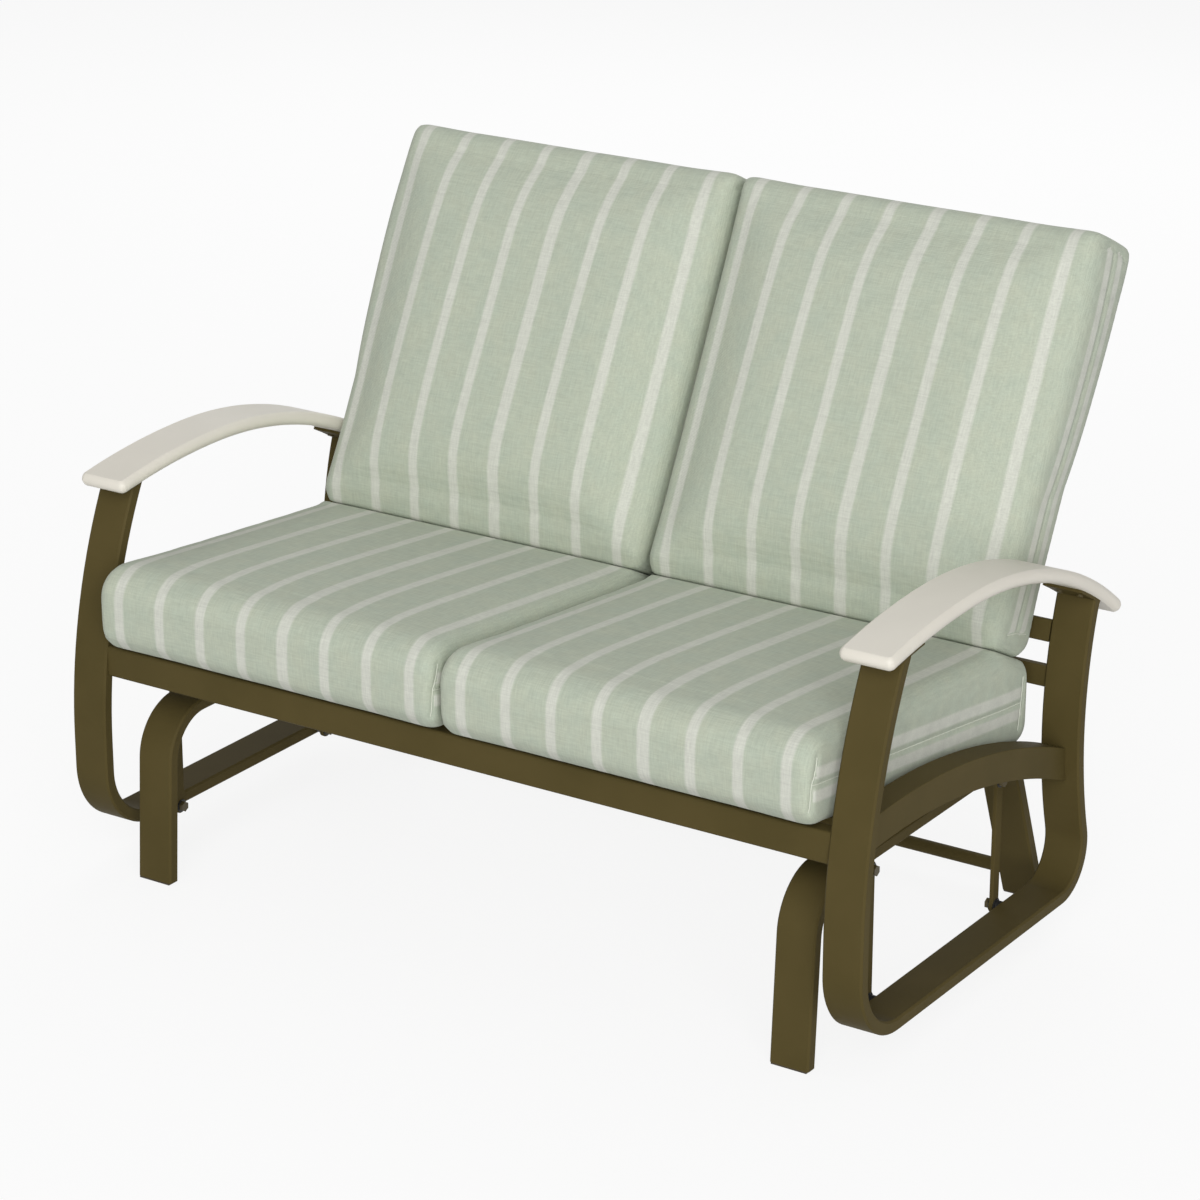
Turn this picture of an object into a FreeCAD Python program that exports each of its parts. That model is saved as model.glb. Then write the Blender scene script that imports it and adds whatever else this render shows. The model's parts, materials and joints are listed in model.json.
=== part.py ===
import FreeCAD, Part
import math
import os
import Sketcher

# Glider bench for two: a standing base of two bent-tube frames, four hanging links with
# bushes and bolts, and a hung seat of bent-tube side loops, rails, slats, curved plank arms
# and four loose cushions.
#
# Frame: millimetres, X across the bench, Y from front to back, Z up from the floor. Left and
# right are as seen by someone standing in front of the bench. Depths below are measured
# from the front face of the front feet, and every piece is set forward by "setback", so that
# the origin lies on the floor under the middle of the bench.

SIZES = (
    # Overall places
    ("loop_span", 1257.0),
    ("arm_overhang", 6.5),
    ("hanger_gap", 29.5),
    ("setback", 377.4),
    # Flat tube of the side loops and of the base
    ("tube_width", 57.0),
    ("tube_depth", 18.0),
    ("tube_wall", 2.5),
    ("tube_corner", 2.5),
    # Base frames
    ("base_height", 252.0),
    ("base_depth", 623.0),
    ("base_bend", 80.0),
    ("front_leg_lean", 3.5),
    ("rear_leg_lean", 20.9),
    ("foot_cap", 2.0),
    ("foot_plug", 25.0),
    ("stretcher_diameter", 19.0),
    ("stretcher_wall", 2.0),
    ("rear_stretcher_height", 40.0),
    ("upper_stretcher_depth", 285.0),
    # Links between base and seat
    ("front_pivot_depth", 115.0),
    ("rear_pivot_inset", 168.0),
    ("hanger_width", 16.0),
    ("hanger_thick", 6.0),
    ("hanger_eye", 22.0),
    ("hanger_inset", 14.0),
    ("bush_diameter", 14.0),
    ("bush_flange", 18.0),
    ("bush_flange_thick", 1.5),
    ("bolt_diameter", 8.0),
    ("bolt_head", 15.0),
    ("bolt_head_thick", 5.5),
    ("insert_diameter", 11.5),
    ("insert_length", 14.0),
    ("running_fit", 0.05),
    ("side_play", 0.3),
    # Side loops
    ("loop_clearance", 54.0),
    ("loop_front", -23.0),
    ("front_corner", 100.0),
    ("front_curve_start", 200.0),
    ("front_curve", 790.0),
    ("rear_corner", 70.0),
    ("rear_corner_depth", 520.0),
    ("rear_kick", 16.0),
    ("rear_curve", 550.0),
    # Plank arms
    ("arm_width", 78.0),
    ("arm_thick", 19.0),
    ("arm_crest_depth", 235.0),
    ("arm_crest_height", 590.0),
    ("arm_front_curve", 1150.0),
    ("arm_rear_curve", 690.0),
    ("arm_front_end", 21.0),
    ("arm_rear_end", 650.0),
    ("arm_edge", 8.0),
    ("arm_plate", 4.0),
    ("arm_plate_length", 56.0),
    ("arm_screw", 5.0),
    ("arm_screw_head", 9.0),
    ("arm_screw_head_thick", 2.5),
    ("arm_screw_reach", 13.0),
    ("arm_screw_spacing", 30.0),
    # Seat frame
    ("front_rail_face", -9.0),
    ("front_rail_drop", 6.0),
    ("front_rail_height", 44.0),
    ("front_rail_depth", 25.0),
    ("rail_wall", 2.0),
    ("rail_corner", 4.0),
    ("side_rail_width", 37.0),
    ("side_rail_height", 43.0),
    ("side_rail_curve", 1130.0),
    ("side_rail_crest_depth", 105.0),
    ("side_rail_drop", 12.5),
    ("seat_over_base", 95.0),
    ("seat_pitch", 8.2),
    ("slat_width", 30.0),
    ("slat_thick", 5.0),
    ("slat_corner", 1.5),
    ("seat_slat_first", 55.0),
    ("seat_slat_pitch", 80.0),
    ("seat_slat_count", 6),
    ("rear_rail_depth", 512.0),
    ("rear_rail_thick", 14.0),
    ("brace", 20.0),
    # Back frame
    ("back_face", 556.0),
    ("back_foot_drop", 13.0),
    ("back_first_bar_rise", 12.0),
    ("back_bend_rise", 33.0),
    ("back_bend", 150.0),
    ("recline", 26.5),
    ("back_pitch", 64.0),
    ("back_bar_count", 9),
    ("back_bar_thick", 12.0),
    ("back_slat_over", 35.0),
    ("stile_width", 25.0),
    ("stile_depth", 19.0),
    ("stile_corner", 2.0),
    ("stile_inset", 81.5),
    ("stile_over", 26.0),
    ("cap_thick", 1.5),
    ("cap_plug", 10.0),
    ("cap_fit", 0.2),
    # Cushions
    ("cushion_gap", 2.0),
    ("cushion_loop_gap", 8.5),
    ("cushion_arm_gap", 1.0),
    ("cushion_rest", 0.5),
    ("seat_front", -45.0),
    ("seat_rear", 534.0),
    ("seat_cushion_thick", 113.5),
    ("seat_top_pitch", 4.74),
    ("seat_nose", 45.0),
    ("seat_heel", 28.0),
    ("seat_break", 60.0),
    ("seat_edge", 24.0),
    ("back_cushion_thick", 112.0),
    ("back_cushion_length", 566.0),
    ("back_cushion_drop", 73.1),
    ("back_cushion_corner", 40.0),
    ("back_cushion_edge", 34.0),
)

doc = FreeCAD.newDocument("glider_bench")
sheet = doc.addObject("Spreadsheet::Sheet", "Sizes")
for row, (alias, number) in enumerate(SIZES, start=1):
    sheet.set("A%d" % row, alias)
    sheet.set("B%d" % row, str(number))
    sheet.setAlias("B%d" % row, alias)
doc.recompute()

Vector = FreeCAD.Vector
Rotation = FreeCAD.Rotation
Constraint = Sketcher.Constraint
ACROSS = Vector(1, 0, 0)
UP = Vector(0, 0, 1)
NORMAL = Vector(0, 0, 1)
SIDES = (("left", -1), ("right", 1))
ORIGIN = (-1, 1)
START, END, CENTRE = range(1, 4)

subparts = []


def size(alias):
    """The number held in one cell of the sheet."""
    return float(sheet.get(alias))


def keep(thing, label):
    """Name a finished piece, which is written to a file of its own."""
    thing.Label = label
    subparts.append(thing)
    return thing


def sin(degrees):
    return math.sin(math.radians(degrees))


def cos(degrees):
    return math.cos(math.radians(degrees))


# Places that several pieces share

loop_centre = (size("loop_span") - size("tube_width")) / 2
base_centre = loop_centre - size("tube_width") - size("hanger_gap")
arm_centre = size("loop_span") / 2 + size("arm_overhang") - size("arm_width") / 2
loop_inner = loop_centre - size("tube_width") / 2
base_outer = base_centre + size("tube_width") / 2
hanger_inner = base_outer + size("hanger_inset")
hanger_outer = hanger_inner + size("hanger_thick")
upper_pivot = size("base_height") - size("tube_depth") / 2
lower_pivot = size("loop_clearance") + size("tube_depth") / 2
seat_plane = size("base_height") + size("seat_over_base")
side_rail_crest = seat_plane - size("side_rail_drop")
pivot_depths = (("front", size("front_pivot_depth")), ("rear", size("base_depth") - size("rear_pivot_inset")))


# Helpers for bodies and sketches

def new_body(name, across=0.0, depth=0.0, height=0.0, tilt=0.0):
    """A body at a place in the bench: tilt turns it about X, and depth counts from the feet."""
    body = doc.addObject("PartDesign::Body", name)
    body.Placement = FreeCAD.Placement(Vector(across, depth, height), Rotation(ACROSS, tilt))
    body.setExpression("Placement.Base.y", "%.6f - Sizes.setback" % depth)
    return body


def origin_plane(body, role):
    return [plane for plane in body.Origin.OriginFeatures if plane.Role == role][0]


def new_sketch(body, name, role="YZ_Plane", offset=None):
    """A sketch on one of the body's own planes: on YZ_Plane its axes are depth and height."""
    sketch = body.newObject("Sketcher::SketchObject", name)
    sketch.AttachmentSupport = [(origin_plane(body, role), "")]
    sketch.MapMode = "FlatFace"
    if offset is not None:
        sketch.AttachmentOffset = offset
    return sketch


def arc(centre, radius, first, last):
    """An arc drawn anticlockwise from one angle to another, in degrees."""
    circle = Part.Circle(centre, NORMAL, radius)
    return Part.ArcOfCircle(circle, math.radians(first), math.radians(last))


def line(start, end):
    return Part.LineSegment(start, end)


def ends(curve):
    return ((START, curve.value(curve.FirstParameter)), (END, curve.value(curve.LastParameter)))


def join(sketch, curves, closed=False, smooth=True):
    """Draw curves one after another and join them end to end, tangent if smooth."""
    first = sketch.GeometryCount
    sketch.addGeometry(curves, False)
    kind = "Tangent" if smooth else "Coincident"
    pairs = list(range(len(curves) - 1)) + ([len(curves) - 1] if closed else [])
    for here in pairs:
        after = (here + 1) % len(curves)
        best = min(((a - b).Length, p, q) for p, a in ends(curves[here]) for q, b in ends(curves[after]))
        sketch.addConstraint(Constraint(kind, first + here, best[1], first + after, best[2]))
    return first


def bind(sketch, constraint, formula):
    """Add a dimension to a sketch and tie it to the sheet."""
    index = sketch.addConstraint(constraint)
    sketch.setExpression(".Constraints[%d]" % index, formula)


def polygon(sketch, corners):
    """A closed outline of straight lines, each corner held at its place."""
    points = [Vector(y, z, 0) for y, z in corners]
    lines = [line(a, b) for a, b in zip(points, points[1:] + points[:1])]
    first = join(sketch, lines, closed=True, smooth=False)
    for number, point in enumerate(points):
        sketch.addConstraint(Constraint("DistanceX", *ORIGIN, first + number, START, point.x))
        sketch.addConstraint(Constraint("DistanceY", *ORIGIN, first + number, START, point.y))


def oblong(sketch, width, height, width_formula, height_formula):
    """A rectangle centred on the sketch's origin, bound to the sheet."""
    x, y = width / 2, height / 2
    corners = [Vector(-x, -y, 0), Vector(x, -y, 0), Vector(x, y, 0), Vector(-x, y, 0)]
    lines = [line(a, b) for a, b in zip(corners, corners[1:] + corners[:1])]
    first = join(sketch, lines, closed=True, smooth=False)
    for number, kind in enumerate(("Horizontal", "Vertical", "Horizontal", "Vertical")):
        sketch.addConstraint(Constraint(kind, first + number))
    sketch.addConstraint(Constraint("Symmetric", first, START, first + 2, START, *ORIGIN))
    bind(sketch, Constraint("DistanceX", first, START, first, END, width), width_formula)
    bind(sketch, Constraint("DistanceY", first + 1, START, first + 1, END, height), height_formula)


def eased_oblong(sketch, width, height, corner, width_formula, height_formula, corner_formula):
    """A rectangle with a small flat across each corner, the rolled edge of a bent tube."""
    x, y, c = width / 2, height / 2, corner
    corners = [Vector(-x + c, -y, 0), Vector(x - c, -y, 0), Vector(x, -y + c, 0), Vector(x, y - c, 0),
               Vector(x - c, y, 0), Vector(-x + c, y, 0), Vector(-x, y - c, 0), Vector(-x, -y + c, 0)]
    lines = [line(a, b) for a, b in zip(corners, corners[1:] + corners[:1])]
    first = join(sketch, lines, closed=True, smooth=False)
    sketch.addConstraint([Constraint("Horizontal", first), Constraint("Vertical", first + 2)])
    for number in range(4):
        opposite = first + number + 4
        sketch.addConstraint(Constraint("Symmetric", first + number, START, opposite, START, *ORIGIN))
    bind(sketch, Constraint("DistanceX", first + 7, START, first + 3, START, width), width_formula)
    bind(sketch, Constraint("DistanceY", first, START, first + 5, START, height), height_formula)
    for here, start, end in ((1, START, END), (3, END, START)):
        bind(sketch, Constraint("DistanceX", first + here, START if here == 1 else END,
                                first + here, END if here == 1 else START, corner), corner_formula)
        bind(sketch, Constraint("DistanceY", first + here, START, first + here, END, corner),
             corner_formula)


def rounded_oblong(sketch, width, height, corner, width_formula, height_formula, corner_formula):
    """A rectangle with round corners, centred on the sketch's origin."""
    x, y, r = width / 2, height / 2, corner
    curves = [line(Vector(-x + r, -y, 0), Vector(x - r, -y, 0)),
              arc(Vector(x - r, -y + r, 0), r, -90, 0),
              line(Vector(x, -y + r, 0), Vector(x, y - r, 0)),
              arc(Vector(x - r, y - r, 0), r, 0, 90),
              line(Vector(x - r, y, 0), Vector(-x + r, y, 0)),
              arc(Vector(-x + r, y - r, 0), r, 90, 180),
              line(Vector(-x, y - r, 0), Vector(-x, -y + r, 0)),
              arc(Vector(-x + r, -y + r, 0), r, 180, 270)]
    first = join(sketch, curves, closed=True)
    sketch.addConstraint([Constraint("Horizontal", first), Constraint("Vertical", first + 2)])
    sketch.addConstraint([Constraint("Horizontal", first + 4), Constraint("Vertical", first + 6)])
    for other in (3, 5, 7):
        sketch.addConstraint(Constraint("Equal", first + 1, first + other))
    sketch.addConstraint(Constraint("Symmetric", first + 1, CENTRE, first + 5, CENTRE, *ORIGIN))
    bind(sketch, Constraint("Radius", first + 1, r), corner_formula)
    bind(sketch, Constraint("DistanceX", first + 6, START, first + 2, START, width), width_formula)
    bind(sketch, Constraint("DistanceY", first, START, first + 4, START, height), height_formula)


def pad_across(body, name, sketch, length_formula):
    """Thicken a side outline equally to both sides."""
    pad = body.newObject("PartDesign::Pad", name)
    pad.Profile = sketch
    pad.SideType = "Symmetric"
    pad.setExpression("Length", length_formula)
    doc.recompute()
    return pad


def pocket_across(body, name, sketch, length_formula):
    """Cut a side outline away through both sides."""
    before = body.Shape.Volume
    pocket = body.newObject("PartDesign::Pocket", name)
    pocket.Profile = sketch
    pocket.SideType = "Symmetric"
    pocket.setExpression("Length", length_formula)
    doc.recompute()
    if body.Shape.Volume >= before:
        raise RuntimeError("%s cuts nothing" % name)
    return pocket


def sweep_tube(body, path, start, direction, draw_section):
    """Sweep a hollow section along a path that starts at a point in the depth-height plane."""
    tilt = math.degrees(math.atan2(-direction.x, direction.y))
    offset = FreeCAD.Placement(Vector(0, start.x, start.y), Rotation(ACROSS, tilt))
    section = new_sketch(body, "section", "XY_Plane", offset)
    draw_section(section)
    doc.recompute()
    tube = body.newObject("PartDesign::AdditivePipe", "tube")
    tube.Profile = (section, [""])
    tube.Spine = (path, ["Edge%d" % (number + 1) for number in range(path.GeometryCount)])
    doc.recompute()
    return tube


def flat_tube_section(sketch):
    """The flat tube of the loops and of the base, with its hollow."""
    eased_oblong(sketch, size("tube_width"), size("tube_depth"), size("tube_corner"),
                 "Sizes.tube_width", "Sizes.tube_depth", "Sizes.tube_corner")
    hollow = 2 * size("tube_wall")
    oblong(sketch, size("tube_width") - hollow, size("tube_depth") - hollow,
           "Sizes.tube_width - 2 * Sizes.tube_wall", "Sizes.tube_depth - 2 * Sizes.tube_wall")


def bolt_holes(body, depths, height, away):
    """Clearance holes for the pivot bolts through one narrow wall of a flat tube."""
    sketch = new_sketch(body, "bolt_holes")
    radius = size("bolt_diameter") / 2 + size("running_fit")
    sketch.addGeometry([Part.Circle(Vector(depth, height, 0), NORMAL, radius) for depth in depths])
    for number, depth in enumerate(depths):
        sketch.addConstraint(Constraint("DistanceX", *ORIGIN, number, CENTRE, depth))
        sketch.addConstraint(Constraint("DistanceY", *ORIGIN, number, CENTRE, height))
        bind(sketch, Constraint("Radius", number, radius),
             "Sizes.bolt_diameter / 2 + Sizes.running_fit")
    doc.recompute()
    before = body.Shape.Volume
    pocket = body.newObject("PartDesign::Pocket", "bolt_hole")
    pocket.Profile = sketch
    pocket.Reversed = away > 0
    pocket.setExpression("Length", "Sizes.tube_width / 2 + Sizes.tube_wall")
    doc.recompute()
    removed = before - body.Shape.Volume
    wanted = len(depths) * math.pi * radius ** 2 * size("tube_wall")
    if abs(removed - wanted) > 0.01 * wanted:
        raise RuntimeError("bolt holes in %s cut %.1f, not %.1f" % (body.Name, removed, wanted))


# Base: two bent frames, two stretchers and the caps in their feet

def base_frame(side_name, side):
    """One end frame: a leaning front leg, a level top run and a splayed rear leg."""
    label = "base_frame_%s" % side_name
    body = new_body(label, across=side * base_centre)
    half = size("tube_depth") / 2
    radius = size("base_bend") - half
    top = size("base_height") - half
    front_lean, rear_lean = size("front_leg_lean"), size("rear_leg_lean")
    below = -size("tube_width")
    front_foot = half / cos(front_lean)
    rear_foot = size("base_depth") + half / cos(rear_lean)
    front_line = Vector(front_foot + below * math.tan(math.radians(front_lean)), below, 0)
    rear_line = Vector(rear_foot - below * math.tan(math.radians(rear_lean)), below, 0)
    up_front = Vector(sin(front_lean), cos(front_lean), 0)
    down_rear = Vector(sin(rear_lean), -cos(rear_lean), 0)
    front_turn, rear_turn = 90 - front_lean, 90 - rear_lean
    front_corner = front_line + up_front * ((top - below) / up_front.y)
    rear_corner = rear_line + down_rear * ((top - below) / down_rear.y)
    front_cut = radius * math.tan(math.radians(front_turn / 2))
    rear_cut = radius * math.tan(math.radians(rear_turn / 2))
    level = Vector(1, 0, 0)
    front_bend = Vector(front_corner.x + front_cut, top - radius, 0)
    rear_bend = Vector(rear_corner.x - rear_cut, top - radius, 0)
    path = new_sketch(body, "path")
    join(path, [line(front_line, front_corner - up_front * front_cut),
                arc(front_bend, radius, 90, 90 + front_turn),
                line(front_corner + level * front_cut, rear_corner - level * rear_cut),
                arc(rear_bend, radius, 90 - rear_turn, 90),
                line(rear_corner + down_rear * rear_cut, rear_line)])
    path.addConstraint(Constraint("Horizontal", 2))
    bind(path, Constraint("DistanceY", *ORIGIN, 2, START, top), "Sizes.base_height - Sizes.tube_depth / 2")
    for bend in (1, 3):
        bind(path, Constraint("Radius", bend, radius), "Sizes.base_bend - Sizes.tube_depth / 2")
    bind(path, Constraint("Angle", 0, math.radians(front_turn)), "(90 - Sizes.front_leg_lean) * 1 deg")
    bind(path, Constraint("Angle", 4, math.radians(-rear_turn)), "(Sizes.rear_leg_lean - 90) * 1 deg")
    for part, point, place in ((0, START, front_line), (4, END, rear_line)):
        path.addConstraint(Constraint("DistanceX", *ORIGIN, part, point, place.x))
        path.addConstraint(Constraint("DistanceY", *ORIGIN, part, point, place.y))
    doc.recompute()
    sweep_tube(body, path, front_line, up_front, flat_tube_section)
    floor = new_sketch(body, "floor")
    far = size("base_depth") + size("base_height")
    polygon(floor, [(-far, 2 * below), (2 * far, 2 * below), (2 * far, size("foot_cap")),
                    (-far, size("foot_cap"))])
    doc.recompute()
    pocket_across(body, "level_feet", floor, "Sizes.tube_width * 2")
    bolt_holes(body, [depth for _, depth in pivot_depths], upper_pivot, side)
    return keep(body, label)


def leg_faces(end_name, height):
    """Front and rear faces of a leg at a height: the depth of each."""
    thick = size("tube_depth")
    if end_name == "front":
        lean = size("front_leg_lean")
        front = height * math.tan(math.radians(lean))
    else:
        lean = size("rear_leg_lean")
        front = size("base_depth") - height * math.tan(math.radians(lean))
    return front, front + thick / cos(lean)


def foot_cap(side_name, side, end_name):
    """A moulded cap that closes a foot: a flange the size of the tube and a plug inside it."""
    label = "foot_cap_%s_%s" % (end_name, side_name)
    body = new_body(label, across=side * base_centre)
    flange = new_sketch(body, "flange_outline")
    cap = size("foot_cap")
    low, high = leg_faces(end_name, 0), leg_faces(end_name, cap)
    polygon(flange, [(low[0], 0), (low[1], 0), (high[1], cap), (high[0], cap)])
    doc.recompute()
    pad_across(body, "flange", flange, "Sizes.tube_width - 2 * Sizes.tube_corner")
    plug = new_sketch(body, "plug_outline")
    lean = size("front_leg_lean") if end_name == "front" else size("rear_leg_lean")
    inset = (size("tube_wall") + size("cap_fit")) / cos(lean)
    top = leg_faces(end_name, cap + size("foot_plug"))
    polygon(plug, [(high[0] + inset, cap), (high[1] - inset, cap),
                   (top[1] - inset, cap + size("foot_plug")), (top[0] + inset, cap + size("foot_plug"))])
    doc.recompute()
    pad_across(body, "plug", plug, "Sizes.tube_width - 2 * (Sizes.tube_wall + Sizes.cap_fit)")
    return keep(body, label)


def round_stretcher(label, depth, height):
    """A round tube across the bench between the two base frames."""
    body = new_body(label, depth=depth, height=height)
    outer = size("stretcher_diameter") / 2
    sketch = new_sketch(body, "ring")
    sketch.addGeometry([Part.Circle(Vector(), NORMAL, outer),
                        Part.Circle(Vector(), NORMAL, outer - size("stretcher_wall"))])
    for number in range(2):
        sketch.addConstraint(Constraint("Coincident", number, CENTRE, *ORIGIN))
    bind(sketch, Constraint("Radius", 0, outer), "Sizes.stretcher_diameter / 2")
    bind(sketch, Constraint("Radius", 1, outer - size("stretcher_wall")),
         "Sizes.stretcher_diameter / 2 - Sizes.stretcher_wall")
    doc.recompute()
    pad_across(body, "tube", sketch,
               "Sizes.loop_span - 4 * Sizes.tube_width - 2 * Sizes.hanger_gap")
    return keep(body, label)


for side_name, side in SIDES:
    base_frame(side_name, side)
    for end_name, _ in pivot_depths:
        foot_cap(side_name, side, end_name)

rear_leg_middle = sum(leg_faces("rear", size("rear_stretcher_height"))) / 2
round_stretcher("base_stretcher_rear", rear_leg_middle, size("rear_stretcher_height"))
round_stretcher("base_stretcher_upper", size("upper_stretcher_depth"), upper_pivot)


# Links: a flat bar with an eye at each end, and flanged bushes pressed into the eyes

def hanger(side_name, side, end_name, depth):
    """One hanging link, from its pivot on the base to its pivot on the side loop."""
    label = "hanger_%s_%s" % (end_name, side_name)
    middle = side * (hanger_inner + hanger_outer) / 2
    body = new_body(label, across=middle, depth=depth, height=lower_pivot)
    reach = upper_pivot - lower_pivot
    eye, half = size("hanger_eye") / 2, size("hanger_width") / 2
    shoulder = math.sqrt(eye ** 2 - half ** 2)
    turn = math.degrees(math.asin(half / eye))
    outline = new_sketch(body, "outline")
    join(outline, [arc(Vector(0, 0, 0), eye, 90 + turn, 450 - turn),
                   line(Vector(half, shoulder, 0), Vector(half, reach - shoulder, 0)),
                   arc(Vector(0, reach, 0), eye, -90 + turn, 270 - turn),
                   line(Vector(-half, reach - shoulder, 0), Vector(-half, shoulder, 0))],
         closed=True, smooth=False)
    outline.addConstraint(Constraint("Coincident", 0, CENTRE, *ORIGIN))
    outline.addConstraint([Constraint("Vertical", 1), Constraint("Vertical", 3)])
    outline.addConstraint(Constraint("Equal", 0, 2))
    bind(outline, Constraint("Radius", 0, eye), "Sizes.hanger_eye / 2")
    bind(outline, Constraint("DistanceX", 3, START, 1, END, size("hanger_width")), "Sizes.hanger_width")
    outline.addConstraint(Constraint("DistanceX", *ORIGIN, 1, START, half))
    outline.addConstraint(Constraint("DistanceX", *ORIGIN, 2, CENTRE, 0))
    bind(outline, Constraint("DistanceY", *ORIGIN, 2, CENTRE, reach),
         "Sizes.base_height - Sizes.loop_clearance - Sizes.tube_depth")
    first = outline.GeometryCount
    for number, height in enumerate((0, reach)):
        hole = Part.Circle(Vector(0, height, 0), NORMAL, size("bush_diameter") / 2)
        outline.addGeometry(hole)
        outline.addConstraint(Constraint("Coincident", first + number, CENTRE, 2 * number, CENTRE))
        bind(outline, Constraint("Radius", first + number, size("bush_diameter") / 2),
             "Sizes.bush_diameter / 2")
    doc.recompute()
    pad_across(body, "bar", outline, "Sizes.hanger_thick")
    return keep(body, label)


def turned(name, profile):
    """A turned piece about its own X axis, from (along, radius) corners."""
    body = doc.addObject("PartDesign::Body", name)
    sketch = new_sketch(body, "%s_profile" % name, "XY_Plane")
    polygon(sketch, profile)
    doc.recompute()
    turn = body.newObject("PartDesign::Revolution", "%s_turn" % name)
    turn.Profile = sketch
    turn.ReferenceAxis = (sketch, ["H_Axis"])
    turn.Angle = 360
    doc.recompute()
    return body


def ring(name, inner, outer, length):
    return turned(name, [(0, inner), (length, inner), (length, outer), (0, outer)])


def place(across, depth, height, turn=Rotation()):
    """A place in the bench, with the depth counted from the front feet."""
    return FreeCAD.Placement(Vector(across, depth - size("setback"), height), turn)


def copies(label, masters, placements):
    """Separate copies of one or more small pieces, kept together as one group."""
    solids = []
    for master, placement in zip(masters, placements):
        shape = master.Shape.copy()
        shape.Placement = placement
        solids.append(shape)
    group = doc.addObject("Part::Feature", label)
    group.Shape = Part.makeCompound(solids)
    return keep(group, label)


def pivot_set(label, master, across, height):
    """One piece at each of the four pivots of a level, turned to face outward on each side."""
    placements = []
    for _, side in SIDES:
        turn = Rotation(UP, 0 if side > 0 else 180)
        placements += [place(side * across, depth, height, turn) for _, depth in pivot_depths]
    return copies(label, [master] * len(placements), placements)


bore = size("bolt_diameter") / 2 + size("running_fit")
sleeve, flange = size("bush_diameter") / 2, size("bush_flange") / 2
bar_thick, flange_thick = size("hanger_thick"), size("bush_flange_thick")
bush_profile = [(-flange_thick, bore), (bar_thick + flange_thick, bore),
                (bar_thick + flange_thick, flange), (bar_thick, flange), (bar_thick, sleeve),
                (0, sleeve), (0, flange), (-flange_thick, flange)]
bush = turned("bush", bush_profile)

for side_name, side in SIDES:
    for end_name, depth in pivot_depths:
        hanger(side_name, side, end_name, depth)
        facing = Rotation(UP, 0 if side > 0 else 180)
        copies("hanger_bushes_%s_%s" % (end_name, side_name), [bush, bush],
               [place(side * hanger_inner, depth, height, facing)
                for height in (lower_pivot, upper_pivot)])


# Pivot hardware: shoulder bolts, spacers and threaded inserts, four of each at both levels

def pivot_bolt(name, under_head, tip):
    """A bolt along X with a hexagon head: its shank runs from under the head to its tip."""
    along = Rotation(UP, ACROSS * (1 if tip > under_head else -1))
    shank = doc.addObject("Part::Cylinder", "%s_shank" % name)
    shank.setExpression("Radius", "Sizes.bolt_diameter / 2")
    shank.Height = abs(tip - under_head)
    shank.Placement.Rotation = along
    head = doc.addObject("Part::Prism", "%s_head" % name)
    head.Polygon = 6
    head.setExpression("Circumradius", "Sizes.bolt_head / 2")
    head.setExpression("Height", "Sizes.bolt_head_thick")
    head.Placement = FreeCAD.Placement(along.multVec(UP) * -size("bolt_head_thick"), along)
    bolt = doc.addObject("Part::Fuse", name)
    bolt.Base = shank
    bolt.Tool = head
    doc.recompute()
    return bolt


bush_inner = hanger_inner - size("bush_flange_thick")
bush_outer = hanger_outer + size("bush_flange_thick")
play = size("side_play")
insert_reach = size("tube_wall") + size("insert_length")
upper_head = bush_outer + play
lower_head = bush_inner - play
upper_tip = base_outer - insert_reach
lower_tip = loop_inner + insert_reach
upper_bolt = pivot_bolt("upper_bolt", upper_head, upper_tip)
lower_bolt = pivot_bolt("lower_bolt", lower_head, lower_tip)
upper_spacer = ring("upper_spacer", bore, sleeve, bush_inner - play - base_outer)
lower_spacer = ring("lower_spacer", bore, sleeve, loop_inner - bush_outer - play)
insert = ring("insert", bore, size("insert_diameter") / 2, size("insert_length"))
pivot_set("pivot_bolts_upper", upper_bolt, upper_head, upper_pivot)
pivot_set("pivot_bolts_lower", lower_bolt, lower_head, lower_pivot)
pivot_set("pivot_spacers_upper", upper_spacer, base_outer, upper_pivot)
pivot_set("pivot_spacers_lower", lower_spacer, bush_outer + play, lower_pivot)
pivot_set("threaded_inserts_upper", insert, upper_tip, upper_pivot)
pivot_set("threaded_inserts_lower", insert, loop_inner + size("tube_wall"), lower_pivot)


# Side loops

def front_curve_point(radius_change, height):
    """A point on the front upright: radius_change moves it across the tube's depth."""
    radius = size("front_curve") - size("tube_depth") / 2 + radius_change
    centre = size("loop_front") + size("front_curve")
    rise = height - size("front_curve_start")
    return centre - math.sqrt(radius ** 2 - rise ** 2)


def rear_curve_centre():
    """The middle of the rear upright's arc, behind the bench."""
    corner = size("rear_corner") - size("tube_depth") / 2
    curve = size("rear_curve") + size("tube_depth") / 2
    height = size("loop_clearance") + size("rear_corner")
    return Vector(size("rear_corner_depth") + (corner + curve) * cos(size("rear_kick")),
                  height + (corner + curve) * sin(size("rear_kick")), 0)


def arm_underside(end_name, drop=0.0):
    """The arm's lower face at its front or rear: centre and radius of its arc."""
    curve = size("arm_front_curve") if end_name == "front" else size("arm_rear_curve")
    centre = Vector(size("arm_crest_depth"), size("arm_crest_height") - curve, 0)
    return centre, curve - size("arm_thick") - drop


def under_arm(end_name, depth, drop=0.0):
    """Height of the arm's lower face at a depth."""
    centre, radius = arm_underside(end_name, drop)
    return centre.y + math.sqrt(radius ** 2 - (depth - centre.x) ** 2)


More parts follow.
